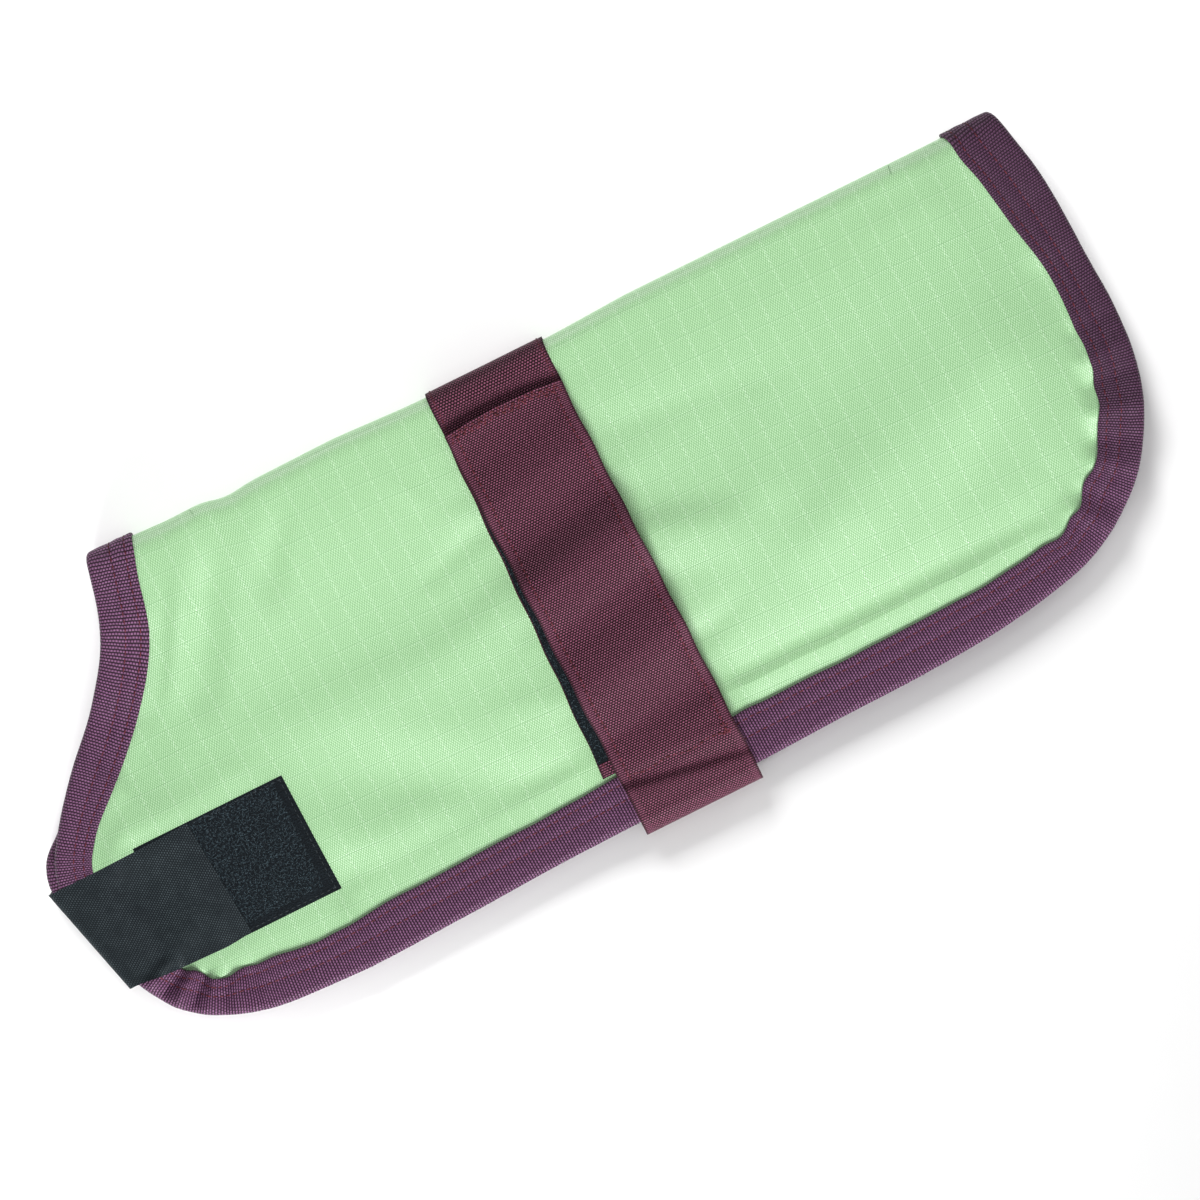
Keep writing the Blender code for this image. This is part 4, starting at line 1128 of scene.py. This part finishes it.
def strap_sheets():
    """The strap over the near half, round its turn under both hems, and back to the seam."""
    start, end = STRAP_OVER[0][0], STRAP_OVER[-1][0]
    rows = np.arange(start, end + 0.1, STRAP_ROW)[:, None]
    across = np.linspace(-1.0, 1.0, STRAP_COLUMNS)[None, :]
    over = strap_height(rows, across)
    bow = TIP_BOW[0] * (1.0 - across**2) * np.exp(-(((rows - start) / TIP_BOW[1]) ** 2))
    grids = []
    for thickness in (0.0, STRAP_PLY):
        near, _ = strip_grid(strap_x, rows[:, 0], WEBBING, STRAP_COLUMNS, over + thickness)
        near[:, :, 1] += bow
        last_x, start_y, top_z = near[-1].T
        floor_z = STRAP_PLY - thickness + STRAP_CLEAR
        middle, half = (top_z + floor_z) / 2.0, (top_z - floor_z) / 2.0
        bulge = STRAP_TURN_BULGE - STRAP_PLY + thickness
        below = []
        for angle in np.radians(np.arange(81.0, -91.0, -9.0)):
            below.append((last_x, start_y - bulge * np.cos(angle), middle + half * np.sin(angle)))
        seam_y = leaf_y(last_x, np.full(STRAP_COLUMNS, BAND_SEAM + GAP))
        for share in np.linspace(0.0, 1.0, 12)[1:]:
            below.append((last_x, mix(start_y, seam_y, share), np.full(STRAP_COLUMNS, floor_z)))
        grids.append(np.concatenate([near, np.moveaxis(np.array(below), 1, 2)]))
    cut = lengthwise_cut(grids[1], WEBBING)
    print("strap length:", round(cut[-1, 0, 0]), "mm")
    return wall_sheets(grids[1], grids[0], cut), grids[1]


sheets, strap_face = strap_sheets()
strap = cloth_object("belly_strap_webbing", sheets, plum_webbing)

# %% [markdown]
# ## Chest patch and tab
# The patch is sewn flat on the near corner. The tab is elastic: it starts under the far corner, is folded
# obliquely round both corners, and its end lies on the patch. Its upper edge isn't gripped, so it humps
# up a little, and both its long edges bow towards the hem.

# %% Loop patch
def patch_sheets():
    across = np.linspace(0.0, 1.0, 46)[:, None]
    down = np.linspace(0.0, 1.0, 34)[None, :]
    s = mix(*PATCH_S, down)
    x = mix(PATCH_LEFT, mix(*PATCH_RIGHT, down), across)
    cut = pattern_cut(x, s)
    outer, inner = place(x, s, STEP), place(x, s, GAP)
    return wall_sheets(outer, inner, cut)


patch = cloth_object("chest_patch", patch_sheets(), loop_ground)

# %% Elastic tab
TAB_CORNER = 2.4
TAB_TURNS = np.radians(np.linspace(0.0, 90.0, 9))
TAB_LIFT = 0.2
TAB_UNDER_RUN = 35.0
TAB_ROWS = 40
TAB_COLUMNS = 33
# How far the upper and the lower edge bow towards the hem, and over what share of the length the bow
# begins at each end.
TAB_BOW = (0.35, 1.1)
TAB_BOW_ENDS = (0.25, 0.35)
# The hump near the upper edge: height, where along the tab, half its length, and how far down it reaches.
TAB_HUMP = (0.5, 0.55, 0.26, 0.5)
# The slow ripple: height, waves along the tab, and their skew.
TAB_RIPPLE = (0.35, 9.0, 2.5)


def tab_side(thickness, top_z):
    """The way down the side and under the coat: distance outside the fold, height, length travelled."""
    radius = TAB_CORNER - TAPE + thickness
    quarter = (TAB_CORNER - TAPE / 2.0) * np.pi / 2.0
    top_centre, low_centre = top_z + TAPE - TAB_CORNER, TAB_CORNER
    down = quarter + top_centre - low_centre
    rows = []
    for turn in TAB_TURNS:
        outside, rise = radius * np.sin(turn) - TAB_CORNER, radius * np.cos(turn)
        rows.append((outside, top_centre + rise, quarter * turn / TAB_TURNS[-1]))
    for turn in TAB_TURNS:
        outside, fall = radius * np.cos(turn) - TAB_CORNER, radius * np.sin(turn)
        rows.append((outside, low_centre - fall, down + quarter * turn / TAB_TURNS[-1]))
    for run in np.linspace(0.0, TAB_UNDER_RUN, 12)[1:]:
        rows.append((-TAB_CORNER - run, TAPE - thickness, down + quarter + run))
    return rows


def tab_over(end, start, share, thickness):
    """One line of the tab over the coat, from its free end to its fold. Share is 0 at the upper edge."""
    t = np.linspace(0.0, 1.0, TAB_ROWS)
    line = mix(end, start, t[:, None])
    between = smooth_step(t / TAB_BOW_ENDS[0]) * smooth_step((1.0 - t) / TAB_BOW_ENDS[1])
    bow = TAB_BOW[0] * (1.0 - share) ** 2 + TAB_BOW[1] * share**2
    line[:, 1] = line[:, 1] - bow * between
    high, middle, half, down_to = TAB_HUMP
    hump = high * np.exp(-(((t - middle) / half) ** 2)) * (1.0 - smooth_step(share / down_to))
    high, waves, skew = TAB_RIPPLE
    ripple = high * np.sin(waves * t + skew * share) * np.sin(np.pi * t)
    s = FOLD_Y - FOLD_BULGE + FOLD_GIRTH - line[:, 1]
    run = place(line[:, 0], s, STEP + TAB_LIFT + thickness)
    run[:, 2] = run[:, 2] + hump + ripple
    return run


def tab_sheets():
    """The tab over the coat, down round both its corners, and a little way under it."""
    down, out, _ = tab_directions()
    lean = down[0] / out[0]
    grids = []
    for thickness in (0.0, TAPE):
        sides = []
        for share in np.linspace(0.0, 1.0, TAB_COLUMNS):
            end, fold = mix(*TAB_END, share), mix(*TAB_FOLD, share)
            start = fold - out * TAB_CORNER - down * lean * TAB_CORNER
            run = tab_over(end, start, share, thickness)
            top_z = run[-1, 2] - thickness
            side_length = top_z + TAPE - TAB_CORNER
            side = []
            for outside, height, travelled in tab_side(thickness, top_z):
                slide = min(travelled, TAB_CORNER) - TAB_CORNER + max(travelled - side_length, 0.0)
                spot = fold + out * outside + down * lean * slide
                side.append((*spot, height))
            sides.append(np.vstack([run[:-1], side]))
        grids.append(np.stack(sides, axis=1))
    cut = lengthwise_cut(grids[1], STRIP)
    print("tab length:", round(cut[-1, 0, 0]), "mm")
    return wall_sheets(grids[1], grids[0], cut)


tab = cloth_object("chest_tab_elastic", tab_sheets(), slate_elastic)

# %% [markdown]
# ## Stitches
# A row of stitches is one short shape repeated along a path, which is what Geometry Nodes are for. The
# tree takes a polyline, cuts it at the stitch length, and stands a squashed ball on each point, turned
# along the path. The tree's sizes are named inputs, so one tree serves every row. It ends by making
# the copies real and giving them their thread.

# %% Trees written as short tables
TREE_END = """
    copies.Instances > real.Geometry
    real.Geometry > thread.Geometry
    given.Thread > thread.Material
    thread.Geometry > out.0"""


def end_of_link(nodes, text):
    """The node and the socket, by name or by number, that a text such as curve.Mesh means."""
    node, socket = text.strip().split(".")
    return nodes[node], int(socket) if socket.isdigit() else socket


def tree_from(name, result, inputs, kinds, fixed, links):
    """A tree from its named inputs, its nodes, what is fixed on them and its links, one to a line. The
    node called copies makes the instances, and the tree ends by making them real."""
    tree = bpy.data.node_groups.new(name, "GeometryNodeTree")
    for label, kind, value in inputs:
        socket = tree.interface.new_socket(label, in_out="INPUT", socket_type="NodeSocket" + kind)
        if value is not None:
            socket.default_value = value
    tree.interface.new_socket(result, in_out="OUTPUT", socket_type="NodeSocketGeometry")
    kinds = dict(kinds, given="NodeGroupInput", real="GeometryNodeRealizeInstances",
                 thread="GeometryNodeSetMaterial", out="NodeGroupOutput")
    nodes = {label: tree.nodes.new(kind) for label, kind in kinds.items()}
    for label, what, value in fixed:
        if isinstance(what, str) and hasattr(nodes[label], what):
            setattr(nodes[label], what, value)
        else:
            nodes[label].inputs[what].default_value = value
    for line in (links + TREE_END).strip().splitlines():
        (start, leaves), (end, enters) = (end_of_link(nodes, text) for text in line.split(" > "))
        tree.links.new(start.outputs[leaves], end.inputs[enters])
    print("tree:", name, "with", len(nodes), "nodes")
    return tree


def grow(base, tree, settings):
    """Puts the tree on an object, sets its named inputs, and keeps the result as a plain mesh."""
    modifier = base.modifiers.new("grow", "NODES")
    modifier.node_group = tree
    sockets = {item.name: item.identifier for item in tree.interface.items_tree if item.in_out == "INPUT"}
    for name, value in settings.items():
        modifier[sockets[name]] = value
    graph = bpy.context.evaluated_depsgraph_get()
    graph.update()
    mesh = bpy.data.meshes.new_from_object(base.evaluated_get(graph))
    made = added(base.name.replace("_path", ""), mesh)
    bpy.data.objects.remove(base)
    mesh.shade_smooth()
    print(made.name, len(mesh.polygons), "faces")
    return made


# %% The tree for sewn rows
sewn_rows = tree_from(
    "sewn_row", "Stitches",
    [("Row", "Geometry", None), ("Stitch Length", "Float", 0.003), ("Thread Width", "Float", 0.0004),
     ("Share Of Gap", "Float", 0.2), ("Thread", "Material", None)],
    dict(curve="GeometryNodeMeshToCurve", points="GeometryNodeResampleCurve",
         tangent="GeometryNodeInputTangent", turn="FunctionNodeAlignRotationToVector",
         ball="GeometryNodeMeshUVSphere", shown="ShaderNodeMath", length="ShaderNodeMath",
         size="ShaderNodeCombineXYZ", copies="GeometryNodeInstanceOnPoints"),
    [("points", "mode", "LENGTH"), ("turn", "axis", "X"), ("ball", "Segments", 6), ("ball", "Rings", 5),
     ("ball", "Radius", 0.5), ("shown", "operation", "SUBTRACT"), ("shown", 0, 1.0),
     ("length", "operation", "MULTIPLY")],
    """
    given.Row > curve.Mesh
    curve.Curve > points.Curve
    given.Stitch Length > points.Length
    tangent.0 > turn.Vector
    given.Share Of Gap > shown.1
    shown.0 > length.0
    given.Stitch Length > length.1
    length.0 > size.0
    given.Thread Width > size.1
    given.Thread Width > size.2
    points.Curve > copies.Points
    ball.Mesh > copies.Instance
    turn.Rotation > copies.Rotation
    size.0 > copies.Scale""")


def sewn(name, rows, thread, length, width, gap):
    """Stitches along rows of points, each a list of places in millimetres."""
    points, edges = [], []
    for row in rows:
        start = len(points)
        points += (np.asarray(row) * MM).tolist()
        edges += [(start + i, start + i + 1) for i in range(len(row) - 1)]
    mesh = bpy.data.meshes.new(name)
    mesh.from_pydata(points, edges, [])
    settings = {
        "Stitch Length": length * MM, "Thread Width": width * MM, "Share Of Gap": gap, "Thread": thread}
    return grow(added(name + "_path", mesh), sewn_rows, settings)


# %% Where the rows of stitches run
def tape_row(inside_of, over):
    """A row along both halves' tape, at a distance inside the edge that depends on the tape's width."""
    rows = []
    for side in SIDES:
        edge = TAPE_EDGES[side]
        distance = inside_of(edge.tape)
        rows.append(place(edge.x + edge.in_x * distance, side * (edge.s + edge.in_s * distance), over))
    return rows


def strip_row(x_at, rows, across, over):
    s = np.asarray(rows, float)
    return place(x_at(s) + across, s, over)


# The rows on the patch. Columns: x and s at one end, x and s at the other.
PATCH_ROWS = [(-139.9, 118.6, -139.1, 166.6), (-182, 167, -139.4, 167), (-178, 118.4, -140.2, 118.4)]
ON_TAPE = (1.22, 1.25)
ON_WEBBING = STEP + 0.02
ON_PATCH = STEP + 0.05
BAND_STITCH = 23.9
tape_rows = tape_row(lambda tape: tape * STITCH_ROWS[0], ON_TAPE[0])
tape_rows += tape_row(lambda tape: tape - STITCH_ROWS[1], ON_TAPE[1])
band_edges = [strip_row(band_x, band_rows[2:-2], side * BAND_STITCH, ON_WEBBING) for side in SIDES]
patch_rows = [place(np.linspace(x0, x1, 40), np.linspace(s0, s1, 40), ON_PATCH)
              for x0, s0, x1, s1 in PATCH_ROWS]
tape_stitches = sewn("tape_stitches", tape_rows, red_thread, 3.2, 0.60, 0.14)
band_stitches = sewn("band_stitches", band_edges, red_thread, 2.8, 0.55, 0.14)
patch_stitches = sewn("patch_stitches", patch_rows, black_thread, 2.6, 0.36, 0.2)


# %% Rows on the strap, and the zigzag that closes its tip
def on_face(face, rows, columns):
    """Points on a grid at fractional rows and columns."""
    rows, columns = np.broadcast_arrays(np.asarray(rows, float), np.asarray(columns, float))
    i = np.clip(rows.astype(int), 0, face.shape[0] - 2)
    j = np.clip(columns.astype(int), 0, face.shape[1] - 2)
    u, v = (rows - i)[:, None], (columns - j)[:, None]
    return (face[i, j] * (1 - u) * (1 - v) + face[i + 1, j] * u * (1 - v)
            + face[i, j + 1] * (1 - u) * v + face[i + 1, j + 1] * u * v)


def strap_column(across):
    return (across / (WEBBING / 2.0) + 1.0) / 2.0 * (STRAP_COLUMNS - 1)


def strap_row(s):
    return (s - STRAP_OVER[0][0]) / STRAP_ROW


# Where the side rows start. The knot at the end of the seam: for each of its rows, s and x of both ends
# from the seam's corner. The zigzag at the tip: s of its two sides, its reach to each side, and its step.
SIDE_ROWS_START = 28.0
KNOT = [((-2.5, 1.0), (-1.0, 0.6)), ((1.0, -2.0), (-1.6, 1.2)), ((0.0, 0.4), (-3.2, 1.2))]
ZIGZAG_S = (24.6, 27.6)
ZIGZAG_REACH = 24.0
ZIGZAG_STEP = 1.5

seam_x = STRAP_SEAM[0]
side_s = np.linspace(SIDE_ROWS_START, STRAP_SEAM_END, 150)
side_rows = [on_face(strap_face, strap_row(side_s), strap_column(side * seam_x)) for side in SIDES]
across_it = np.linspace(-seam_x, seam_x, 60)
cross_s = STRAP_SEAM_END + 0.7 * np.sin(0.33 * across_it) + 0.03 * across_it
cross_row = on_face(strap_face, strap_row(cross_s), strap_column(across_it))
knot = [on_face(strap_face, strap_row(STRAP_SEAM_END + np.array(s)), strap_column(seam_x + np.array(x)))
        for s, x in KNOT]
teeth = np.arange(-ZIGZAG_REACH, ZIGZAG_REACH + 0.1, ZIGZAG_STEP)
tooth_s = np.where(np.arange(len(teeth)) % 2, *ZIGZAG_S) + 0.5 * np.sin(0.4 * teeth)
zigzag = on_face(strap_face, strap_row(tooth_s), strap_column(teeth))
strap_stitches = sewn("strap_stitches", side_rows + [cross_row], red_thread, 2.8, 0.62, 0.12)
tip_stitches = sewn("tip_stitches", [zigzag] + knot, red_thread, 1.5, 0.85, 0.0)

# %% [markdown]
# ## Loops
# The soft half of a touch fastener is a field of tiny thread loops. The tree scatters points over a
# surface with a fixed seed, and stands a small arch on each, turned at random and leaning a little.

# %% The tree for the pile
loop_pile = tree_from(
    "loop_pile", "Pile",
    [("Ground", "Geometry", None), ("Loops Per Square Metre", "Float", 1600000.0),
     ("Loop Size", "Float", 0.0005), ("Thread Width", "Float", 0.00014), ("Lean", "Float", 0.5),
     ("Seed", "Int", 3), ("Thread", "Material", None)],
    dict(scatter="GeometryNodeDistributePointsOnFaces", arch="GeometryNodeCurveArc",
         ring="GeometryNodeCurvePrimitiveCircle", tube="GeometryNodeCurveToMesh",
         upright="GeometryNodeTransform", minus="ShaderNodeMath", low="ShaderNodeCombineXYZ",
         high="ShaderNodeCombineXYZ", turned="FunctionNodeRandomValue", size="FunctionNodeRandomValue",
         copies="GeometryNodeInstanceOnPoints"),
    [("arch", "Resolution", 5), ("arch", "Sweep Angle", math.pi), ("ring", "Resolution", 3),
     ("upright", "Rotation", (math.pi / 2.0, 0.0, 0.0)), ("minus", "operation", "MULTIPLY"),
     ("minus", 1, -1.0), ("high", 2, 2.0 * math.pi), ("turned", "data_type", "FLOAT_VECTOR"),
     ("size", "data_type", "FLOAT"), ("size", 2, 0.7), ("size", 3, 1.25)],
    """
    given.Ground > scatter.Mesh
    given.Loops Per Square Metre > scatter.Density
    given.Seed > scatter.Seed
    given.Loop Size > arch.Radius
    given.Thread Width > ring.Radius
    arch.Curve > tube.Curve
    ring.Curve > tube.Profile Curve
    tube.Mesh > upright.Geometry
    given.Lean > minus.0
    minus.0 > low.0
    minus.0 > low.1
    given.Lean > high.0
    given.Lean > high.1
    low.0 > turned.0
    high.0 > turned.1
    given.Seed > turned.Seed
    given.Seed > size.Seed
    scatter.Points > copies.Points
    upright.Geometry > copies.Instance
    turned.0 > copies.Rotation
    size.1 > copies.Scale""")


def planted(name, grid, per_square_mm, size):
    """Loops on a grid of points."""
    mesh = bpy.data.meshes.new(name)
    mesh.from_pydata((grid.reshape(-1, 3) * MM).tolist(), [], quads_of(*grid.shape[:2]).tolist())
    settings = {
        "Loops Per Square Metre": per_square_mm * 1e6, "Loop Size": size * MM, "Thread": loop_thread}
    return grow(added(name + "_path", mesh), loop_pile, settings)


# Where the pile grows: x from and to and s from and to on the patch, and s and the distance in from the
# edge on the strip. The loops' feet are sunk a little into the ground.
PATCH_PILE = (-183.0, -142.8), (118.0, 164.2)
STRIP_PILE = (60.0, 169.0), (0.3, 5.0)
SUNK = 0.1
pile_x, pile_s = np.linspace(*PATCH_PILE[0], 30)[:, None], np.linspace(*PATCH_PILE[1], 30)[None, :]
patch_loops = planted("patch_loops", place(pile_x, pile_s, STEP - SUNK), 1.5, 0.50)
edge_s = np.linspace(*STRIP_PILE[0], 60)[:, None]
edge_x = strip_x(edge_s) - STRIP / 2.0 + np.linspace(*STRIP_PILE[1], 4)[None, :]
strip_loops = planted("strip_loops", place(edge_x, edge_s, 2.0 * STEP - SUNK), 1.0, 0.45)


# %% [markdown]
# ## What each piece stands for
# Every piece rides on the coat's one body and takes the place of its plain solid. The coat's cut area is
# worked out from its cutting grid and printed, and the tapes' flat sizes are worked out but not kept.

def cut_area(cut):
    """Area of a grid on the flat cloth, in square metres."""
    p, q = cut[1:, 1:] - cut[:-1, :-1], cut[1:, :-1] - cut[:-1, 1:]
    return np.abs(p[..., 0] * q[..., 1] - p[..., 1] * q[..., 0]).sum() / 2.0 * MM * MM


def taped_size(stations):
    """Width and length of a tape before it was folded."""
    edge = TAPE_EDGES[1]
    section = tape_section(edge.tape[list(stations)].mean())
    around = np.hypot(*np.diff(np.vstack([section, section[:1]]), axis=0).T).sum()
    length = 2.0 * (edge.along[max(stations)] - edge.along[min(stations)])
    return around / 2.0 * MM, length * MM


# Columns: slot, piece, and the solid that it takes the place of, where it does.
DECLARED = [
    ("coat_ripstop", coat, "coat_shell"),
    ("lining", layers, "folded_layers"),
    ("binding_webbing", neck_tape, "neck_binding"),
    ("binding_webbing", hem_tape, "hem_binding"),
    ("strap_webbing", band, "back_band"),
    ("strap_webbing", strap, "belly_strap"),
    ("loop_tape", loop_strip, "strap_loop_strip"),
    ("loop_tape", patch, "chest_loop_patch"),
    ("black_elastic", tab, "chest_tab"),
    ("binding_webbing", tape_stitches, None),
    ("strap_webbing", band_stitches, None),
    ("strap_webbing", strap_stitches, None),
    ("strap_webbing", tip_stitches, None),
    ("loop_tape", patch_stitches, None),
    ("loop_tape", patch_loops, None),
    ("loop_tape", strip_loops, None),
]
for slot, piece, node in DECLARED:
    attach(piece, "root")
    if node:
        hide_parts(node)

half_area = sum(cut_area(panel_grid(side, 0.0)[1]) for side in SIDES)
print("coat's cut:", round(half_area, 4), "square metres")
taped_size(range(join + 1))
taped_size(range(join, last + 1))


# %% [markdown]
# ## Floor, camera and light
# The coat lies on a plain white surface and is seen from straight above. The cloth is lit from the hem's
# side, which brings out every slope, while its shadow on the floor falls past the hem. One light can't
# do both, so light linking gives each light what it reaches: only the cloth, or only the floor.

# %% Floor
FLOOR_HALF = 3.0


def floor():
    mesh = bpy.data.meshes.new("floor")
    corners = [(x * FLOOR_HALF, y * FLOOR_HALF, 0.0) for x, y in ((-1, -1), (1, -1), (1, 1), (-1, 1))]
    mesh.from_pydata(corners, [], [(0, 1, 2, 3)])
    made = added("floor", mesh)
    f = Finish("pale_floor", Roughness=0.9, Specular_IOR_Level=0.2)
    where = f.nodes.new("ShaderNodeTexCoord").outputs["Object"]
    tone = f.noise(where, 40.0, 2.0)
    mesh.materials.append(f.done(f.blend(tone, (0.91, 0.91, 0.91), (0.93, 0.93, 0.93)), tone, 0.01))
    made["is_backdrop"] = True
    return made


surface = floor()

# %% Camera and light
scene = bpy.context.scene
VIEW_CENTRE = (0.0072, -0.0076, 0.010)
VIEW_HEIGHT = 2.677
VIEW_TURN = math.radians(-26.4)
SKY_STRENGTH = 0.34

camera_data = bpy.data.cameras.new("camera")
camera_data.lens = 200.0
camera_data.sensor_width = 36.0
camera = added("camera", camera_data)
camera.location = (VIEW_CENTRE[0], VIEW_CENTRE[1], VIEW_CENTRE[2] + VIEW_HEIGHT)
camera.rotation_euler = (0.0, 0.0, VIEW_TURN)
scene.camera = camera


def soft_light(name, towards, elevation, distance, width, height, power, reaches, blockers=None):
    """An area light that faces the coat from a horizontal direction and an elevation in degrees. It
    reaches only the objects given, and where blockers are given only they cast its shadows."""
    data = bpy.data.lights.new(name, "AREA")
    data.shape, data.size, data.size_y, data.energy = "RECTANGLE", width, height, power
    made = added(name, data)
    rise, length = math.radians(elevation), math.hypot(*towards)
    flat = math.cos(rise) / length
    away = (towards[0] * flat, towards[1] * flat, math.sin(rise))
    made.location = [distance * part for part in away]
    made.rotation_mode = "QUATERNION"
    made.rotation_quaternion = made.location.to_track_quat("Z", "Y")
    made.visible_camera = False
    for side, chosen in (("receiver_collection", reaches), ("blocker_collection", blockers)):
        if chosen is not None:
            group = bpy.data.collections.new(name + "_" + side)
            for piece in chosen:
                group.objects.link(piece)
            setattr(made.light_linking, side, group)
    print("light:", name, power, "W")


cloth = [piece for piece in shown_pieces() if piece.name != "floor"]
shell = [coat, neck_tape, hem_tape]
soft_light("cloth_light", (-0.18, -0.98), 37.0, 5.0, 2.0, 2.0, 345.0, cloth, blockers=shell + [strap])
# Columns: name, direction it comes from, elevation, distance, width, height, power, what it reaches.
LIGHTS = [
    ("back_fill", (0.0, 1.0), 26.0, 4.4, 2.0, 2.0, 26.0, shell + [band]),
    ("spine_light", (0.0, 1.0), 15.0, 0.28, 0.56, 0.06, 0.25, shell),
    ("shadow_light", (0.0, 1.0), 37.0, 2.2, 1.0, 1.0, 46.0, [surface]),
    ("floor_fill", (0.0, 0.01), 89.0, 2.4, 2.0, 2.0, 7.0, [surface]),
    ("chest_fill", (-0.79, -0.61), 14.7, 0.59, 0.2, 0.2, 3.2, [surface]),
    ("tail_fill", (0.97, 0.25), 20.0, 0.60, 0.2, 0.2, 0.65, [surface]),
]
for row in LIGHTS:
    soft_light(*row)
world = bpy.data.worlds.new("soft_white")
world.use_nodes = True
sky = world.node_tree.nodes["Background"]
sky.inputs["Color"].default_value = (1.0, 1.0, 1.0, 1.0)
sky.inputs["Strength"].default_value = SKY_STRENGTH
scene.world = world
scene.view_settings.view_transform = "Standard"
